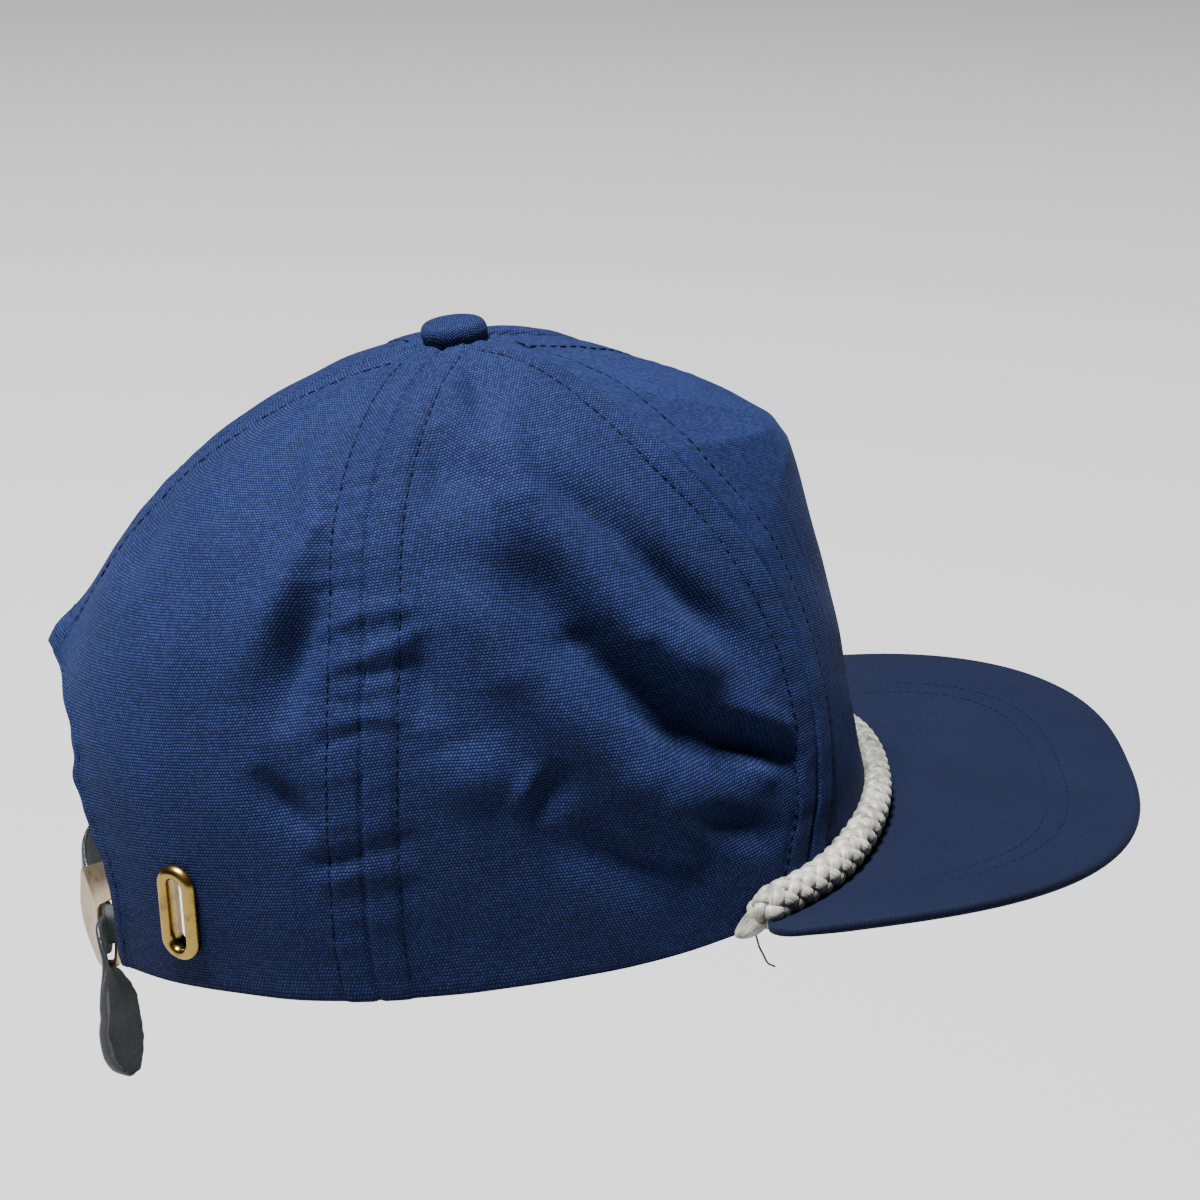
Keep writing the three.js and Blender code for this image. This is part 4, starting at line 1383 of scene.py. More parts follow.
    def relief(self, place: Layout) -> Array:
        """Gives how far the cloth stands off the smooth crown.

        Args:
            place: The layout of the vertices.

        Returns:
            Each vertex's height.
        """
        right, left = (CROWN.fold_height(side, np.abs(place.azimuth), place.rise) for side in Side)
        height = np.where(self.own_side(place.azimuth) == Side.RIGHT.value, right, left)
        for distance, seam in ((place.from_first, self.first), (place.from_last, self.last)):
            band = self.seam_band(distance, place, seam is Seam.SIDE)
            if seam is Seam.BACK:
                above = smooth(place.rise - self.arch_rise(), -0.005, 0.02)
                band = mix(self.hem(distance, place), band, above)
            height += band
        near = np.minimum(place.from_first, place.from_last)
        for inset, push in self.backing if self.first is Seam.OTHER_FRONT else ():
            height += push * bump(near - inset, 0.9)
        wave = Ripple(self.seed).height(place.from_first, place.length)
        return height + self.wave * wave * smooth(near, 4, 22)

    def surface(self, place: Layout) -> tuple:
        """Gives the panel's outer face.

        Args:
            place: The layout of the vertices.

        Returns:
            Its points and its outward directions.
        """
        turn = np.abs(place.azimuth)
        normals = CROWN.normal(turn, place.rise)
        points = CROWN.smooth_point(turn, place.rise) + normals * self.relief(place)[..., None]
        return self.mirrored(place.azimuth, points), self.mirrored(place.azimuth, normals)

    def build(self, material: Material) -> Object:
        """Builds the panel and puts it in the scene in place of its solid.

        Args:
            material: Its finish.

        Returns:
            The piece.
        """
        mesh, u, v = grid_mesh(self.name, self.columns, self.rows)
        place, across = self.lay_out(u, v)
        place_vertices(mesh, self.surface(place)[0])
        lay_pattern(mesh, across, place.length)
        self.open_holes(mesh)
        self.face_outwards(mesh)
        piece = show(self.name + "_cloth", mesh, material, (self.name,))
        wall = piece.modifiers.new("wall", "SOLIDIFY")
        wall.thickness = self.wall * MM
        wall.offset = -1
        edge = piece.modifiers.new("edge", "BEVEL")
        edge.width = self.edge_round * MM
        edge.segments = 2
        edge.limit_method = "ANGLE"
        edge.angle_limit = math.radians(self.edge_angle)
        return piece

    def face_outwards(self, mesh: Mesh) -> None:
        """Turns the faces so that they look away from the crown's inside.

        Args:
            mesh: The panel's sheet.
        """
        mesh.update()
        face = mesh.polygons[len(mesh.polygons) // 2]
        inside = Vector(PLACEMENT.points(np.array([0.0, CROWN.button_y, 50.0])))
        if face.normal.dot(face.center - inside) < 0:
            mesh.flip_normals()

    def open_holes(self, mesh: Mesh) -> None:
        """Leaves the sheet whole."""

    def stitch(self, thick: Stitching, fine: Stitching) -> None:
        """Sews the cloth down beside both seams.

        Args:
            thick: Takes the seams' stitches.
            fine: Takes the hem's stitches, of which this panel has none.
        """
        for seam in (self.first, self.last):
            self.stitch_line(thick, seam, self.sewn_inset, self.stitch_low, self.stitch_high)

    def stitch_line(
        self, stitching: Stitching, seam: Seam, inset: float, low: float, high: float
    ) -> None:
        """Lays a row of stitches along one of the panel's seams.

        Args:
            stitching: Takes the stitches.
            seam: The seam that the row follows.
            inset: Millimetres in from the seam.
            low: Rise where the row starts.
            high: Rise where it ends.
        """
        rises = np.linspace(low, high, 500)
        first, last = (self.seam_azimuth(end, rises) for end in (self.first, self.last))
        azimuth, from_first, from_last = np.empty((3, len(rises)))
        for i, rise in enumerate(rises):
            samples, reach = self.across_row(first[i], last[i], rise, 60)
            place = min(inset, reach[-1] / 2)
            from_first[i] = reach[-1] - place if seam is self.last else place
            from_last[i] = reach[-1] - from_first[i]
            azimuth[i] = np.interp(from_first[i], reach, samples)
        length = rises * CROWN.fold_length
        stitching.run(*self.surface(Layout(azimuth, rises, from_first, from_last, length)))

    def cross_line(self, stitching: Stitching, rise: float, low: float, high: float) -> None:
        """Lays stitches across the cloth beside the last seam.

        Args:
            stitching: Takes the stitches.
            rise: Where the row runs.
            low: Millimetres from the seam where it starts.
            high: Millimetres from the seam where it ends.
        """
        samples, to_seam = self.across_row(180, 140, rise, 200)
        distance = np.linspace(low, high, 60)
        azimuth = np.interp(distance, to_seam, samples)
        rises, far = np.full(60, rise), np.full(60, 40.0)
        place = Layout(azimuth, rises, far, distance, rises * CROWN.fold_length)
        stitching.run(*self.surface(place))


@dataclass
class BackPanel(Panel):
    """A back panel, cut by the arch; the right one also by the eyelet's slot."""

    slot: "Eyelet | None" = None
    bars: tuple = (0.018, 0.05)
    bar_ends: tuple = (0.8, 7.6)

    def open_holes(self, mesh: Mesh) -> None:
        """Cuts the eyelet's slot.

        Args:
            mesh: The panel's sheet.
        """
        if self.slot is None:
            return
        work = bmesh.new()
        work.from_mesh(mesh)
        inverse = self.slot.place().inverted()
        tilt = Matrix.Rotation(math.radians(PLACEMENT.tilt), 4, "X")
        gone = []
        for face in work.faces:
            spot = inverse @ (tilt @ (face.calc_center_median() / MM))
            reach = max(abs(spot.y) - self.slot.spine, 0)
            if abs(spot.z) < 8 and math.hypot(spot.x, reach) < self.slot.hole + 0.9:
                gone.append(face)
        bmesh.ops.delete(work, geom=gone, context="FACES")
        work.to_mesh(mesh)
        work.free()

    def stitch(self, thick: Stitching, fine: Stitching) -> None:
        """Sews the cloth down beside both seams, round the arch and in two bars over it.

        Args:
            thick: Takes the seams' stitches.
            fine: Takes the hem's and the bars' stitches.
        """
        top = self.arch_rise()
        self.stitch_line(thick, self.first, self.sewn_inset, self.stitch_low, self.stitch_high)
        self.stitch_line(fine, self.last, self.hem_inset, self.stitch_low, top - 0.01)
        self.stitch_line(thick, self.last, self.sewn_inset, top + 0.02, self.stitch_high)
        for bar in self.bars:
            self.cross_line(fine, top + bar, *self.bar_ends)


@dataclass
class Eyelet:
    """The oval brass eyelet, its rim rolled over the cloth."""

    azimuth: float = 125.3
    rise: float = 0.078
    lean_turn: float = 3
    lean_rise: float = 0.115
    flange: float = 5.3
    washer: float = 4.5
    hole: float = 2
    spine: float = 7
    rim: float = 2.2
    rim_lean: float = 0.12
    rim_steps: int = 17
    wall: float = 1.6
    stand_off: float = 0.2
    end_steps: int = 24

    def place(self) -> Matrix:
        """Works out where the eyelet lies on the cap.

        Returns:
            Its frame: x across it, y up it and z out of the cloth.
        """
        normal = Vector(CROWN.normal(np.array(self.azimuth), np.array(self.rise)))
        turn, rise = self.lean_turn / 2, self.lean_rise / 2
        above = Vector(CROWN.smooth_point(self.azimuth - turn, self.rise + rise))
        below = Vector(CROWN.smooth_point(self.azimuth + turn, self.rise - rise))
        up = above - below
        up = (up - normal * up.dot(normal)).normalized()
        across = up.cross(normal).normalized()
        middle = Vector(CROWN.smooth_point(self.azimuth, self.rise))
        turned = Matrix((across, up, normal)).transposed().to_4x4()
        return Matrix.Translation(middle) @ turned

    def ring(self, radius: float, height: float) -> Array:
        """Gives points round the oval.

        Args:
            radius: Distance from the slot's middle line.
            height: Height off the cloth.

        Returns:
            The points, in the eyelet's own frame.
        """
        angle = np.linspace(0, math.pi, self.end_steps + 1)
        x, y = radius * np.cos(angle), self.spine + radius * np.sin(angle)
        half = np.stack([x, y, height + 0 * angle], -1)
        return np.concatenate([half, half * (-1, -1, 1)])

    def profile(self) -> list:
        """Gives the section from the barrel's inner end out over the rim to the washer.

        Returns:
            Pairs of a radius and a height.
        """
        face, back = self.stand_off, -(self.wall + self.stand_off)
        angle = np.linspace(math.pi, 0, self.rim_steps)
        out = (self.flange + self.hole) / 2 + (self.flange - self.hole) / 2 * np.cos(angle)
        lift = self.rim * np.sin(angle) ** 0.8 * (1 - self.rim_lean * np.cos(angle))
        return [
            (self.hole, back - 0.7),
            (self.hole, face * 0.5),
            *zip(out, face + lift),
            (self.flange - 0.5, face - 0.25),
            (self.hole + 0.8, face - 0.25),
            (self.hole + 0.8, back),
            (self.washer, back),
            (self.washer + 0.2, back - 0.4),
            (self.washer - 0.2, back - 0.8),
        ]

    def build(self, material: Material) -> Object:
        """Builds the eyelet in place of its solid.

        Args:
            material: Its finish.

        Returns:
            The piece.
        """
        rings = np.stack([self.ring(radius, height) for radius, height in self.profile()], axis=1)
        mesh = ring_sheet("eyelet_brass", moved(rings, self.place()), closed=True)
        weld(mesh)
        return show("eyelet_brass", mesh, material, ("eyelet",))


@dataclass
class Button:
    """The cloth-covered button where the panels meet; its section is in shares of its size."""

    radius: float = 7.7
    height: float = 5.2
    slope: float = 0.09
    sides: int = 96
    steps: int = 60
    gathers: tuple = ((0.012, 9, 0), (0.008, 14, 1))
    section: Table = Table(
        ("step", "radius", "height"),
        (
            (0, 0.6, -0.3),
            (1, 0.97, -0.12),
            (2, 1.0, 0.1),
            (3, 1.02, 0.4),
            (4, 0.975, 0.68),
            (5, 0.87, 0.84),
            (6, 0.5, 0.96),
            (7, 0.03, 1.0),
        ),
    )

    def build(self, material: Material) -> Object:
        """Builds the button in place of its solid.

        Args:
            material: Its finish.

        Returns:
            The piece.
        """
        steps = np.linspace(0, len(self.section.rows) - 1, self.steps)
        radius = self.section.read("radius", steps) * self.radius
        level = self.section.read("height", steps)[:, None] * self.height
        angle = round_angles(self.sides)
        gather = sum(depth * np.sin(count * angle + start) for depth, count, start in self.gathers)
        wide = radius[:, None] * (1 + gather * smooth(level / self.height, 0.9, 0.2))
        x, y = wide * np.cos(angle), wide * np.sin(angle)
        rings = np.stack([x, CROWN.button_y + y, CROWN.height + level + self.slope * y], -1)
        mesh = ring_sheet("top_button_cloth", rings)
        weld(mesh, caps=True)
        self.lay_weave(mesh)
        return show("top_button_cloth", mesh, material, ("top_button",))

    def lay_weave(self, mesh: Mesh) -> None:
        """Lays the weave flat over the top and down the sides.

        Args:
            mesh: The welded button.
        """
        places = vertex_places(mesh) / MM
        drop = places[:, 2].max() - places[:, 2]
        out = places[:, :2] - places.mean(0)[:2]
        reach = np.linalg.norm(out, axis=1)
        stretch = (reach + 0.8 * drop) / np.maximum(reach, 0.1)
        lay_pattern(mesh, out[:, 0] * stretch, out[:, 1] * stretch)


@dataclass
class Visor:
    """The visor: a board between two faces of cloth, with a turned edge."""

    thickness: float = 3
    root_azimuth: float = 47
    half_width: float = 82
    shoulder_y: float = 80
    tip_y: float = 166.5
    roundness: float = 2.65
    side_height: float = 4
    tip_height: float = -6.6
    droop: float = 1.5
    tuck: float = 1.2
    corner_out: float = 2.6
    corner_ahead: float = -0.6
    corner_lift: float = 1.7
    open: float = 98
    columns: int = 240
    top_rows: int = 60
    nose_rows: int = 12
    root_drop: float = 0.75
    thin_ends: float = 0.16
    stitch_rows: tuple = (17, 22)
    middle_y: float = -90
    stitch_turn: float = 0.86
    stitch_depth: float = 0.16

    def edge(self, turn: Array) -> Array:
        """Gives the outline.

        Args:
            turn: From -1 at the left root through the tip to 1 at the right one.

        Returns:
            Points in millimetres.
        """
        angle = np.radians(self.open * turn)
        c, s = np.cos(angle), np.sin(angle)
        k = (np.abs(c) ** self.roundness + np.abs(s) ** self.roundness) ** (-1 / self.roundness)
        forward = np.maximum(c * k, 0)
        past = np.clip((np.abs(self.open * turn) - 90) / (self.open - 90), 0, 1)
        x = -self.half_width * s * k
        y = -(self.shoulder_y + (self.tip_y - self.shoulder_y) * c * k)
        z = mix(self.side_height, self.tip_height, forward**self.droop)
        root = CROWN.rim(np.array(self.root_azimuth))
        corner_x = np.sign(x) * (abs(root[0]) + self.corner_out)
        corner_y, corner_z = root[1] + self.corner_ahead, root[2] + self.corner_lift
        corner = np.stack([corner_x, 0 * x + corner_y, 0 * x + corner_z], -1)
        edge = np.stack([x, y, z], -1)
        return mix(edge, corner, (past * past)[..., None])

    def top(self, u: Array, v: Array) -> Array:
        """Gives the upper face, before its stitches press it in.

        Args:
            u: From the left root, 0, to the right one, 1.
            v: From the crown, 0, out to the edge, 1.

        Returns:
            Points in millimetres.
        """
        turn = 2 * u - 1
        rim = CROWN.rim(self.root_azimuth * np.abs(turn))
        inward = np.stack([rim[..., 0], rim[..., 1] - CROWN.button_y, 0 * turn], -1)
        rim = rim - unit(inward) * self.tuck
        rim[..., 2] -= self.root_drop
        rim[..., 0] *= np.where(turn < 0, -1, 1)
        return mix(rim, self.edge(turn), v[..., None])

    def build(self, material: Material) -> Object:
        """Builds the visor in place of its solid.

        Args:
            material: Its finish.

        Returns:
            The piece.
        """
        u = np.linspace(0, 1, self.columns + 1)
        v = np.linspace(0, 1, self.top_rows)[:, None]
        thin = mix(0.5, 1, smooth(1 - np.abs(2 * u - 1), 0, self.thin_ends))
        half = self.thickness / 2 * thin[:, None]
        root, edge = self.top(u, 0 * u), self.top(u, 0 * u + 1)
        out = edge - self.top(u, np.full(u.shape, 0.9))
        out[:, 2] = 0
        out = unit(out)
        top = root[:, None] + (edge - out * half - root)[:, None] * v
        under = top[:, ::-1] - 2 * half[:, None] * UP
        turn = np.linspace(math.pi / 2, -math.pi / 2, self.nose_rows)[1:-1]
        spine = edge - half * (out + UP)
        nose = rings_round(spine, out, 0 * out + UP, half * np.cos(turn), half * np.sin(turn))
        rings = np.concatenate([top + self.stitch_relief(top), nose, under], axis=1)
        mesh = ring_sheet("visor_cloth", rings)
        places = vertex_places(mesh) / MM
        lay_pattern(mesh, places[:, 0], places[:, 1] + 0.5 * places[:, 2])
        weld(mesh, caps=True)
        return show("visor_cloth", mesh, material, ("visor",))

    def stitch_path(self, inset: float) -> Array:
        """Gives a row of stitches on the upper face.

        Args:
            inset: Millimetres in from the edge.

        Returns:
            The row's points, as far as it is clear of the crown.
        """
        edge = self.edge(np.linspace(-self.stitch_turn, self.stitch_turn, 700))
        along = np.gradient(edge[:, :2], axis=0)
        inward = unit(np.stack([along[:, 1], -along[:, 0]], -1))
        flip = np.sign(np.sum(inward * ((0, self.middle_y) - edge[:, :2]), axis=1))
        path = edge.copy()
        path[:, :2] += inward * flip[:, None] * inset
        u, v = np.meshgrid(np.linspace(0, 1, 220), np.linspace(0, 1, 90), indexing="ij")
        face = self.top(u, v).reshape(-1, 3)
        for i, point in enumerate(path):
            near = np.argmin(np.sum((face[:, :2] - point[:2]) ** 2, axis=1))
            path[i, 2] = face[near, 2]
        path[:, 2] = averaged(path[:, 2], 9, mode="edge")
        rim = CROWN.rim(np.abs(np.degrees(np.arctan2(path[:, 0], -path[:, 1]))))
        clear = np.linalg.norm(path[:, :2], axis=1) > np.linalg.norm(rim[:, :2], axis=1) + 6
        return path[clear]

    def stitch_relief(self, top: Array) -> Array:
        """Presses the stitch rows a little into the upper face.

        Args:
            top: The face's points.

        Returns:
            How far each one is moved.
        """
        relief = np.zeros(top.shape)
        for inset in self.stitch_rows:
            path = self.stitch_path(inset)[::2, :2]
            for i, line in enumerate(top[..., :2]):
                gap = np.linalg.norm(line[:, None] - path, axis=-1).min(1)
                relief[i, :, 2] -= self.stitch_depth * bump(gap, 0.8)
        return relief


@dataclass
class RopeLine:
    """The rope's course, point by point from its left end.

    wide and high are half of its size, to_end is the way to the nearer end, and braided goes from
    0 where the rope is melted to 1.
    """

    middle: Array
    side: Array
    up: Array
    wide: Array
    high: Array
    reach: Array
    to_end: Array
    braided: Array


@dataclass
class Rope:
    """The braided rope along the joint of the crown and the visor."""

    visor: Visor
    radius: float = 3.35
    end_azimuth: float = 53.5
    taper: float = 4.5
    end_height: float = 1.6
    end_width: float = 1.95
    lead: float = 18
    strands: int = 4
    strand_width: float = 1.8
    strand_height: float = 1.3
    steps: int = 700
    sides: int = 10
    wind: float = 0.77
    swing: float = 0.15
    core_sides: int = 28
    core_fill: tuple = (0.99, 0.66)
    core_girth: float = 20
    strand_girth: float = 9
    melt: float = 10
    melt_ridge: float = 0.05
    bulge: float = 0.35
    tuck: float = 1.6
    droop: float = 3
    droop_reach: float = 8

    def visor_height(self, azimuth: Array, away: Array) -> Array:
        """Gives what the rope's outer side lies on.

        Args:
            azimuth: Degrees from the front.
            away: How far the rope's middle is out from the rim.

        Returns:
            The visor's height, or the rim's past the visor's root.
        """
        u = 0.5 + 0.5 * np.minimum(azimuth / self.visor.root_azimuth, 1)
        reach = self.visor.top(u, np.ones(u.shape)) - self.visor.top(u, np.zeros(u.shape))
        flat = np.linalg.norm(reach[..., :2], axis=-1)
        v = np.minimum((away + self.radius * 0.7 + self.visor.tuck) / flat, 1)
        return np.maximum(self.visor.top(u, v)[..., 2], CROWN.rim(azimuth)[..., 2])

    def course(self, turn: Array) -> tuple:
        """Gives the rope's line.

        Args:
            turn: From -1 at its left end to 1 at its right one.

        Returns:
            Its middle, its outward directions, and its half width and half height.
        """
        azimuth = np.abs(turn) * self.end_azimuth
        ahead = CROWN.rim(np.maximum(azimuth - 0.5, 0))
        along = CROWN.rim(azimuth + 0.5) - ahead
        out = unit(np.stack([-along[:, 1], along[:, 0], 0 * turn], -1))
        fade = smooth(self.end_azimuth - azimuth, 0, self.taper)
        swell = self.bulge * bump(self.end_azimuth - azimuth - 5.2, 2.4)
        half_height = mix(self.end_height, self.radius, fade) + swell
        half_width = mix(self.end_width, self.radius, fade) + 0.4 * swell
        wall, rim = CROWN.smooth_point(azimuth, 0.06), CROWN.rim(azimuth)
        wall_out, rim_out = (np.hypot(at[:, 0], at[:, 1] - CROWN.button_y) for at in (wall, rim))
        away = np.maximum(wall_out - rim_out, 0) + half_width
        tuck = self.tuck * smooth(-azimuth, -38, -20)
        middle = rim + out * (away + 0.2 - tuck)[:, None]
        middle[:, 2] = self.visor_height(azimuth, away) + half_height + 0.5 - 0.6 * tuck
        middle[:, 2] -= self.droop * (1 - smooth(self.end_azimuth - azimuth, 0, self.droop_reach))
        flip = np.where(turn < 0, -1, 1)
        middle[:, 0] *= flip
        out[:, 0] *= flip
        return middle, out, half_width, half_height

    def line(self) -> RopeLine:
        """Lays the rope's line out point by point.

        Returns:
            The line.
        """
        middle, out, wide, high = self.course(np.linspace(-1, 1, self.steps))
        for k in range(3):
            middle[:, k] = averaged(middle[:, k], 15, mode="reflect", reflect_type="odd")
        reach = reach_along(middle)
        tangent = unit(np.gradient(middle, axis=0))
        up = unit(np.cross(tangent, np.cross(UP, tangent)))
        side = unit(out - tangent * np.sum(out * tangent, -1)[:, None])
        to_end = np.minimum(reach, reach[-1] - reach)
        braided = smooth(to_end, self.melt * 0.35, self.melt)
        return RopeLine(middle, side, up, wide, high, reach, to_end, braided)

    def build(self, material: Material) -> Object:
        """Builds the braid in place of the rope's solid.

        Args:
            material: Its finish.

        Returns:
            The piece.
        """
        line = self.line()
        meshes = [self.core(line)]
        for direction in (1, -1):
            meshes.extend(self.strand(line, direction, k) for k in range(self.strands))
        mesh = joined("rope_braid", meshes)
        return show("rope_braid", mesh, material, ("rope",))

    def core(self, line: RopeLine) -> Mesh:
        """Makes the rope's core, which fills out to the melted ends.

        Args:
            line: The rope's line.

        Returns:
            The mesh.
        """
        angle = round_angles(self.core_sides)
        tip = np.sqrt(np.clip(1 - (1 - np.minimum(line.to_end, 3) / 3) ** 2, 0.02, 1))
        fill = mix(*self.core_fill, line.braided) * tip
        wave = np.sin(5 * angle + 0.35 * line.reach[:, None])
        ridge = 1 + self.melt_ridge * (1 - line.braided[:, None]) * wave
        a = (line.wide * fill)[:, None] * np.cos(angle) * ridge
        b = (line.high * fill)[:, None] * np.sin(angle) * ridge
        rings = rings_round(line.middle, line.side, line.up, a, b)
        return self.strung("rope_core", rings, line.reach)

    def strand(self, line: RopeLine, direction: int, number: int) -> Mesh:
        """Makes one strand that winds round the core, over and under the others.

        Args:
            line: The rope's line.
            direction: 1 or -1, which way it winds.
            number: Which of the strands that wind this way it is.

        Returns:
            The mesh.
        """
        turn = direction * 2 * math.pi * (line.reach / self.lead + number / self.strands)
        weave = direction * np.cos(8 * math.pi * line.reach / self.lead)
        sink = mix(0.72, 1.0, line.braided) * smooth(line.to_end, -2, 4)
        radius = (self.wind + self.swing * weave) * sink
        way_a, way_b = line.side * np.cos(turn)[:, None], line.up * np.sin(turn)[:, None]
        wide, high = line.wide[:, None], line.high[:, None]
        middle = line.middle + (way_a * wide + way_b * high) * radius[:, None]
        along = unit(np.gradient(middle, axis=0))
        outward = unit(way_a * high + way_b * wide)
        outward = unit(outward - along * np.sum(outward * along, -1)[:, None])
        angle = round_angles(self.sides)
        grow = mix(0.3, 1, line.braided) * mix(0.2, 1, smooth(line.to_end, 0, 4))
        a = (self.strand_width * grow * (1 + 0.1 * weave))[:, None] * np.cos(angle)
        b = (self.strand_height * grow)[:, None] * np.sin(angle)
        rings = rings_round(middle, np.cross(along, outward), outward, a, b)
        return self.strung("strand", rings, line.reach)

    def strung(self, name: str, rings: Array, reach: Array) -> Mesh:
        """Makes a closed strand with its fibres' pattern laid along it.

        Args:
            name: The mesh's name.
            rings: The strand's rings of points.
            reach: Each ring's place along the rope.

        Returns:
            The mesh.
        """
        sides = rings.shape[1]
        girth = self.core_girth if sides == self.core_sides else self.strand_girth
        mesh = ring_sheet(name, rings)
        ring, side = ring_numbers(mesh, sides)
        lay_pattern(mesh, side / sides * girth, reach[ring])
        weld(mesh, caps=True)
        return mesh


@dataclass
class Closure:
    """The leaning plane of the buckle: along it, up it and out of it."""

    origin: tuple = (-10, 93.8, 19.6)
    heading: float = 33
    lean: float = 20
    roll: float = 18

    def place(self) -> Matrix:
        """Works out the plane.

        Returns:
            Its frame on the cap.
        """
        heading, lean = math.radians(self.heading), math.radians(self.lean)
        along = Vector((-math.cos(heading), -math.sin(heading), 0))
        level = Vector((-math.sin(heading), math.cos(heading), 0))
        up = Vector(UP) * math.cos(lean) - level * math.sin(lean)
        out = along.cross(up).normalized()
        turn = Matrix.Rotation(math.radians(self.roll), 3, out)
        along, up = turn @ along, turn @ up
        axes = Matrix((along, up, out)).transposed().to_4x4()
        return Matrix.Translation(Vector(self.origin)) @ axes


@dataclass
class Buckle:
    """The flat brass slide buckle with one window."""

    closure: Closure
    thickness: float = 1.2
    edge: float = 0.35
    rays: int = 220
    centre: tuple = (13.4, -15.6)
    outline: Table = Table(
        ("along", "up", "round"),
        (
            (-0.3, 0, 1.2),
            (-2, -9, 7),
            (0.6, -15.5, 6),
            (8.6, -24.8, 3),
            (19, -24.8, 3),
            (21, -20.5, 2),
            (21, 1.4, 2),
        ),
    )
    window: Table = Table(
        ("along", "up", "round"),
        (
            (8.9, -9.7, 1),
            (8.2, -18.6, 1.5),
            (10.9, -23, 1.5),
            (17.4, -23, 1.5),
            (18, -20, 1),
            (18, -8.2, 0.8),
        ),
    )

    def rounded(self, corners: Table) -> Array:
        """Rounds the corners of a closed outline.

        Args:
            corners: The corners and how far each is rounded.

        Returns:
            The outline's points.
        """
        places = np.array([row[:2] for row in corners.rows])
        t = np.linspace(0, 1, 9)[:, None]
        arcs = []
        for i, here in enumerate(places):
            before, after = places[i - 1] - here, places[(i + 1) % len(places)] - here
            sides = np.linalg.norm(before), np.linalg.norm(after)
            reach = min(corners.rows[i][2], min(sides) / 2.1)
            start, end = here + before / sides[0] * reach, here + after / sides[1] * reach
            arcs.append((1 - t) ** 2 * start + 2 * (1 - t) * t * here + t * t * end)
        return np.concatenate(arcs)

    def cast(self, outline: Array) -> Array:
        """Finds where rays from the window's middle meet an outline.

        Args:
            outline: The outline's points.

        Returns:
            A point for each ray.
        """
        a = outline - self.centre
        b = np.roll(a, -1, axis=0)
        points = []
        for angle in round_angles(self.rays):
            ray = np.array([math.cos(angle), math.sin(angle)])
            cross_a, cross_b = (ray[0] * end[:, 1] - ray[1] * end[:, 0] for end in (a, b))
            fall = cross_a - cross_b
            t = cross_a / np.where(np.abs(fall) < 1e-9, 1e-9, fall)
            reach = mix(a, b, t[:, None]) @ ray
            met = (t >= 0) & (t <= 1) & (reach > 0)
            points.append(self.centre + ray * reach[met].max())
        return np.array(points)

    def build(self, material: Material) -> Object:
        """Builds the buckle in place of its solid, with rounded edges and a grooved outer side.

        Args:
            material: Its finish.

        Returns:
            The piece.
        """
        outer, inner = (self.cast(self.rounded(shape)) for shape in (self.outline, self.window))
        inward = unit(inner - outer)
        turn = np.linspace(0, math.pi / 2, 5)
        sine, cosine = 1 - np.sin(turn), 1 - np.cos(turn)
        base = self.thickness / self.edge
        loops = []
        for plan, way, steps, levels in (
            (outer, inward, sine, -sine),
            (inner, -inward, sine, -cosine),
            (inner, -inward, cosine, sine - base),
            (outer, inward, sine, cosine - base),
        ):
            for step, level in zip(steps * self.edge, levels * self.edge):
                loops.append(np.column_stack([plan + way * step, np.full(len(plan), level)]))
        rings = moved(np.stack(loops, axis=1), self.closure.place())
        mesh = ring_sheet("buckle_plate", rings, closed=True)
        weld(mesh)
        return show("buckle_plate", mesh, material, ("buckle",))


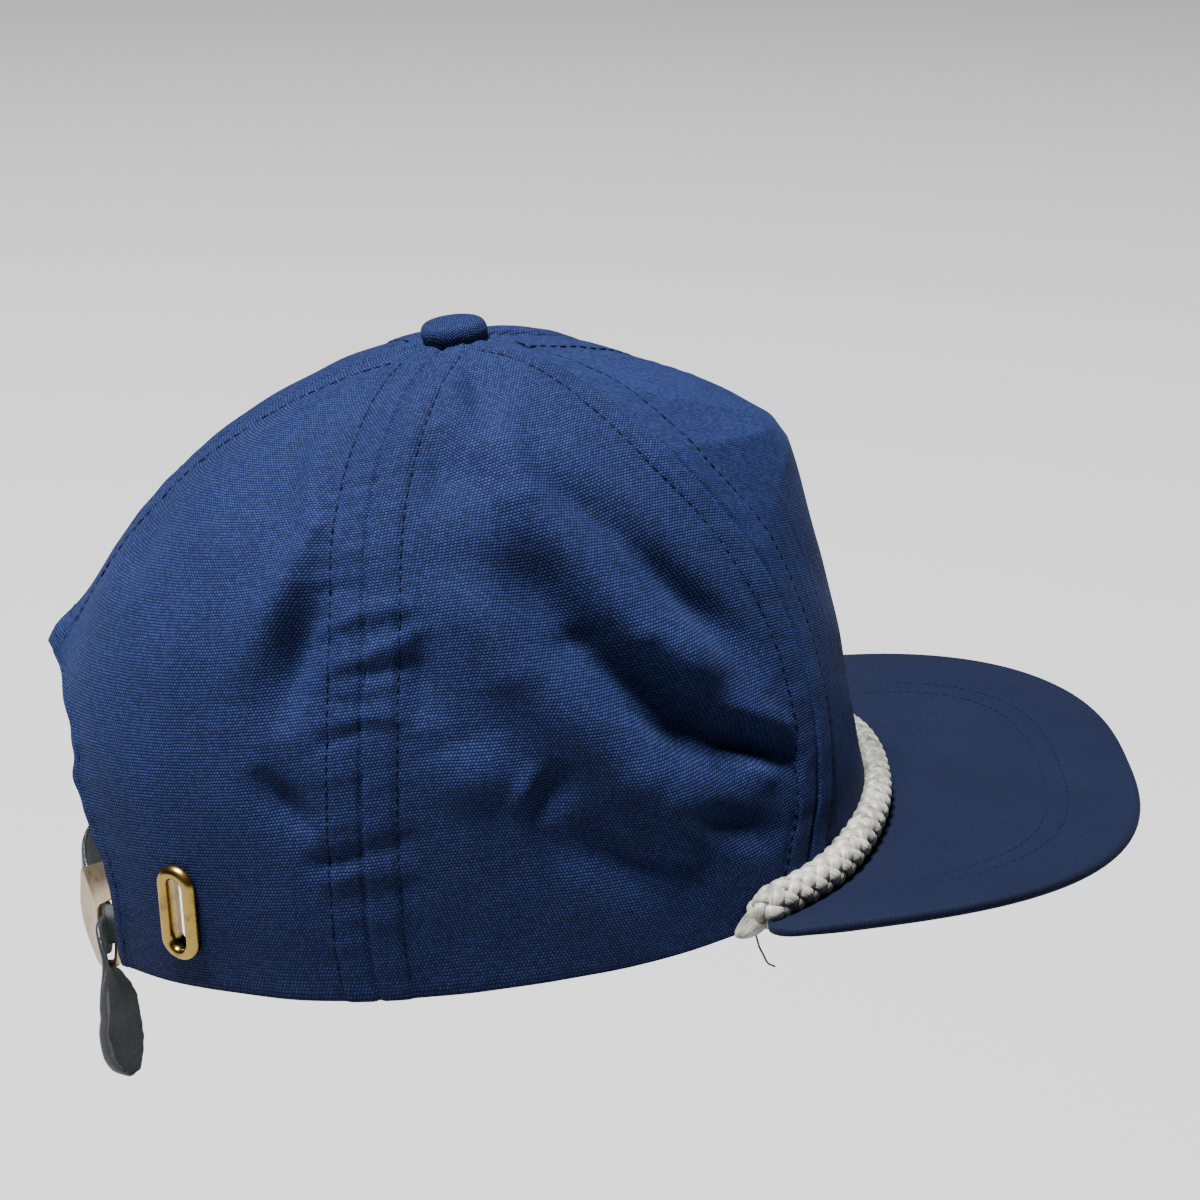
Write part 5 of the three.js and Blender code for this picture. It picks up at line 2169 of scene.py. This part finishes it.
@dataclass
class Strap:
    """The leather strap, from inside the left panel out through the buckle to its free tip."""

    width: float = 15.5
    thickness: float = 1.7
    steps: int = 260
    across_steps: int = 30
    bead: float = 2.3
    bead_depth: float = 0.45
    fray: float = 0.16
    free_from: tuple = (12, 14)
    course: Table = Table(
        ("at", "x", "y", "z", "face", "lean", "roll", "cut"),
        (
            (0, 53, 58.5, 20.5, -54, 6, -8, 1),
            (1, 46, 68.8, 19, -46, 6, -6, 1),
            (2, 38, 79.6, 17.2, -38, 8, -4, 1),
            (3, 29, 88.8, 15.6, -30, 10, -2, 1),
            (4, 18, 95.2, 14.4, -16, 12, 0, 1),
            (5, 7, 97, 13.2, 2, 12, 0, 1),
            (6, -4, 95.6, 11.8, 18, 14, -4, 0.96),
            (7, -12.5, 92.2, 9.8, 32, 16, -8, 0.84),
            (8, -17.8, 89.6, 8.6, 30, 16, -8, 0.76),
            (9, -22.4, 87.5, 8.2, 16, 14, -6, 0.73),
            (10, -26.4, 87.3, 8.4, 4, 10, 2, 0.72),
            (11, -29.6, 88.3, 8.4, 10, 6, 24, 0.7),
            (12, -32.0, 88.3, 4.3, 18, 2, 60, 0.76),
            (13, -32.4, 88.0, -2, -12, 0, 86, 0.8),
            (14, -32.0, 88.0, -8, -31, 0, 90, 0.84),
            (15, -31.4, 89.2, -14, -40, 0, 90, 0.85),
            (16, -31, 89.9, -20, -42, 0, 90, 0.82),
            (17, -30.5, 90.2, -25, -42, 0, 90, 0.62),
            (18, -30, 89.8, -28.4, -42, 0, 90, 0.26),
        ),
    )

    def build(self, material: Material) -> Object:
        """Builds the strap in place of its solid.

        Args:
            material: Its finish.

        Returns:
            The piece.
        """
        at = np.linspace(0, len(self.course.rows) - 1, self.steps)
        here = np.stack([self.course.read(name, at) for name in "xyz"], -1)
        face, roll, lean = (np.radians(self.course.read(name, at)) for name in ("face", "roll", "lean"))
        grain = np.stack([-np.sin(face), np.cos(face), 0 * at], -1)
        level = np.stack([-np.cos(face), -np.sin(face), 0 * at], -1)
        upright = UP * np.cos(lean)[:, None] - grain * np.sin(lean)[:, None]
        across = upright * np.cos(roll)[:, None] + level * np.sin(roll)[:, None]
        thick = unit(grain - across * np.sum(grain * across, -1)[:, None])
        half = self.width / 2 * self.course.read("cut", at)[:, None]
        reach = reach_along(here)
        section, side, girth = self.section()
        a, b = section.T
        free = smooth(at, *self.free_from)[:, None]
        ragged = Ripple(11, 1.2, 4, 12).height(reach, 0 * reach)[:, None]
        fray = self.fray * ragged * free * (a < -0.9)
        bead = self.bead_depth * free * bump((1 - a) * half - 1.1, 1.0) * (b < 0)
        rings = rings_round(here, across, thick, half * a + fray, self.thickness / 2 * b - bead)
        mesh = ring_sheet("strap_leather", rings)
        ring, column = ring_numbers(mesh, len(section))
        column %= len(section)
        turned = (b[column] < 0) & ((1 - a[column]) * half[ring, 0] < self.bead)
        paint(mesh, "grain", np.maximum(side[column], turned * free[ring, 0]))
        lay_pattern(mesh, girth[column], reach[ring])
        weld(mesh, caps=True)
        return show("strap_leather", mesh, material, ("strap",))

    def section(self) -> tuple:
        """Gives the strap's section, in shares of its half width and half thickness.

        Returns:
            Its points, 1 where they are on the grain side, and their way round in millimetres.
        """
        places = np.cos(np.linspace(0, math.pi, self.across_steps)[:-1]) * 0.5 + 0.5
        a = 2 * places - 1
        grain = np.stack([a, (1 - a**12) ** 0.5], -1)
        points = np.concatenate([grain, -grain])
        side = np.where((points[:, 1] < 0) & (np.abs(points[:, 0]) < 0.93), 0.0, 1.0)
        return points, side, np.concatenate([places, 2 - places]) * self.width


@dataclass
class StrapTab:
    """The leather tab folded round the buckle's near bar."""

    closure: Closure
    wall: float = 1.2
    height: float = 9.6
    level: float = -14.4
    bar_left: float = 17.7
    bar_right: float = 21.3
    clear: float = 0.9
    middle: float = -0.6
    length: float = 14
    tail: float = 2.6
    sides: int = 24

    def path(self) -> Array:
        """Gives the tab's middle line, from its sewn end round the bar and back.

        Returns:
            Points on the buckle's plane: along it and out of it.
        """
        reach = self.clear + self.wall / 2
        left = self.bar_left - self.wall / 2
        corners = np.array(
            [
                (self.bar_right + self.length, self.tail + 0.6),
                (self.bar_right + 2.5, reach),
                (left, reach),
                (left, -reach),
                (self.bar_right + 1.5, -reach),
                (self.bar_right + self.length * 0.9, self.tail - 1.0),
            ]
        )
        t = np.linspace(0, 1, 24, endpoint=False)[:, None]
        path = np.concatenate([*(mix(a, b, t) for a, b in zip(corners, corners[1:])), corners[-1:]])
        return np.stack([averaged(way, 7, mode="reflect", reflect_type="odd") for way in path.T], -1)

    def build(self, material: Material) -> Object:
        """Builds the tab in place of its solid.

        Args:
            material: Its finish.

        Returns:
            The piece.
        """
        path = self.path()
        normal = unit(np.gradient(path, axis=0))[:, ::-1] * (1, -1)
        angle = round_angles(self.sides)
        c, s = np.cos(angle), np.sin(angle)
        tall = self.level + np.sign(c) * np.abs(c) ** 0.3 * self.height / 2
        deep = np.sign(s) * np.abs(s) ** 0.6 * self.wall / 2
        flat = path[:, None] + normal[:, None] * deep[:, None]
        along, out = flat[..., 0], self.middle + flat[..., 1]
        rings = moved(np.stack([along, 0 * along + tall, out], -1), self.closure.place())
        mesh = ring_sheet("strap_tab_leather", rings)
        ring, side = ring_numbers(mesh, self.sides)
        lay_pattern(mesh, side / self.sides * 20, ring * 0.6)
        paint(mesh, "grain", np.ones(len(mesh.vertices)))
        weld(mesh, caps=True)
        return show("strap_tab_leather", mesh, material, ("strap_tab",))


@dataclass
class LooseThread:
    """A short end of green sewing thread under the rope's near end."""

    course: Table = Table(
        ("at", "y", "z"),
        ((0, -69.4, -3.6), (1, -69.6, -8.2), (2, -70.2, -10.4), (3, -70.9, -13.0), (4, -72.4, -14.4)),
    )
    x: float = -62.5
    sway: float = 0.3
    radius: float = 0.24
    sides: int = 8

    def build(self, material: Material) -> Object:
        """Builds the thread.

        Args:
            material: Its finish.

        Returns:
            The piece.
        """
        at = np.linspace(0, len(self.course.rows) - 1, 60)
        x = self.x + self.sway * np.sin(2 * at)
        line = np.stack([x, self.course.read("y", at), self.course.read("z", at)], -1)
        tangent = unit(np.gradient(line, axis=0))
        side = unit(np.cross(tangent, (1.0, 0, 0)))
        angle = round_angles(self.sides)
        a, b = self.radius * np.cos(angle), self.radius * np.sin(angle)
        mesh = ring_sheet("loose_thread", rings_round(line, side, np.cross(side, tangent), a, b))
        weld(mesh, caps=True)
        return show("loose_thread", mesh, material)


@dataclass
class Cap:
    """All pieces of the cap."""

    finishes: Finishes

    def build(self) -> None:
        """Builds the pieces in order."""
        self.build_crown()
        Button().build(self.finishes.button)
        self.build_visor()
        Eyelet().build(self.finishes.eyelet)
        closure = Closure()
        Buckle(closure).build(self.finishes.buckle)
        Strap().build(self.finishes.leather)
        StrapTab(closure).build(self.finishes.leather)
        LooseThread().build(self.finishes.loose)

    def build_crown(self) -> None:
        """Builds the panels and sews them."""
        names = {side: side.name.lower() for side in Side}
        front = Panel(
            "front_panel", Side.RIGHT, Seam.OTHER_FRONT, Seam.FRONT, columns=120, sewn_inset=7.5, seed=21
        )
        sides = [
            Panel(f"side_panel_{name}", side, Seam.FRONT, Seam.SIDE, seed=5 + side.value)
            for side, name in names.items()
        ]
        backs = [
            BackPanel(f"back_panel_{name}", side, Seam.SIDE, Seam.BACK, seed=31 + side.value)
            for side, name in names.items()
        ]
        backs[0].slot = Eyelet()
        front.build(self.finishes.front)
        for panel in (*sides, *backs):
            panel.build(self.finishes.cloth)
        thick, fine = Stitching(), Stitching(width=0.34, proud=0.08, seed=8)
        for panel in (front, *sides, *backs):
            panel.stitch(thick, fine)
        thick.pieces.extend(fine.pieces)
        show("crown_stitching", thick.mesh("crown_stitching"), self.finishes.thread)

    def build_visor(self) -> None:
        """Builds the visor, its stitches and the rope that lies on it."""
        visor = Visor()
        visor.build(self.finishes.visor)
        rows = Stitching(length=2.0, width=0.24, proud=0.02, seed=9)
        for inset in visor.stitch_rows:
            path = visor.stitch_path(inset)
            rows.run(path, 0 * path + UP)
        show("visor_stitching", rows.mesh("visor_stitching"), self.finishes.thread)
        Rope(visor).build(self.finishes.braid)


@dataclass(frozen=True)
class Lamp:
    """A square soft light."""

    name: str
    place: tuple
    size: float
    power: float


@dataclass
class Studio:
    """A pale floor, soft lights and the camera."""

    aim: tuple = (0.0, -0.0332, 0.0679)
    distance: float = 0.7
    elevation: float = 20
    lens: float = 86.1
    floor_level: float = -0.3
    floor_reach: float = 40
    sky: tuple = (0.83, 0.84, 0.86)
    sky_strength: float = 0.05
    lamps: tuple[Lamp, ...] = (
        Lamp("key", (-0.45, 0.85, 4.0), 1.1, 1040),
        Lamp("fill", (-2.5, 0.6, 1.6), 1.6, 1.5),
        Lamp("front", (1.3, -3.0, 1.3), 1.6, 30),
    )

    def camera(self) -> None:
        """Places the camera on the wearer's right."""
        rise = math.radians(self.elevation)
        aim = Vector(self.aim)
        back = Vector((-math.cos(rise), 0, math.sin(rise)))
        data = bpy.data.cameras.new("camera")
        data.lens = self.lens
        data.sensor_width = 36
        data.clip_start, data.clip_end = 0.01, 50
        camera = bpy.data.objects.new("camera", data)
        bpy.context.scene.collection.objects.link(camera)
        camera.location = aim + back * self.distance
        camera.rotation_euler = (-back).to_track_quat("-Z", "Y").to_euler()
        bpy.context.scene.camera = camera

    def floor(self) -> None:
        """Lays the floor."""
        work = bmesh.new()
        bmesh.ops.create_grid(work, x_segments=1, y_segments=1, size=self.floor_reach)
        bmesh.ops.translate(work, verts=work.verts, vec=(0, 0, self.floor_level))
        mesh = finished(work, "floor")
        mesh.materials.append(Paint("pale_floor").material())
        floor = bpy.data.objects.new("floor", mesh)
        bpy.context.scene.collection.objects.link(floor)

    def hang(self, lamp: Lamp) -> None:
        """Hangs a light that looks at the cap.

        Args:
            lamp: The light.
        """
        data = bpy.data.lights.new(lamp.name, "AREA")
        data.size = lamp.size
        data.energy = lamp.power
        light = bpy.data.objects.new(lamp.name, data)
        bpy.context.scene.collection.objects.link(light)
        light.location = lamp.place
        away = Vector(lamp.place) - Vector(self.aim)
        light.rotation_euler = away.to_track_quat("Z", "Y").to_euler()

    def build(self) -> None:
        """Sets up the studio."""
        self.camera()
        self.floor()
        for lamp in self.lamps:
            self.hang(lamp)
        world = bpy.data.worlds.new("studio")
        world.use_nodes = True
        sky = {0: opaque(self.sky), 1: self.sky_strength}
        Graph(world.node_tree).wire(world.node_tree.nodes["Background"], sky)
        bpy.context.scene.world = world


def main() -> None:
    """Builds the cap and its studio."""
    logging.basicConfig(level=logging.INFO, format="%(name)s %(message)s")
    Studio().build()
    Cap(Finishes()).build()
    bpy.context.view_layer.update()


if __name__ == "__main__":
    main()
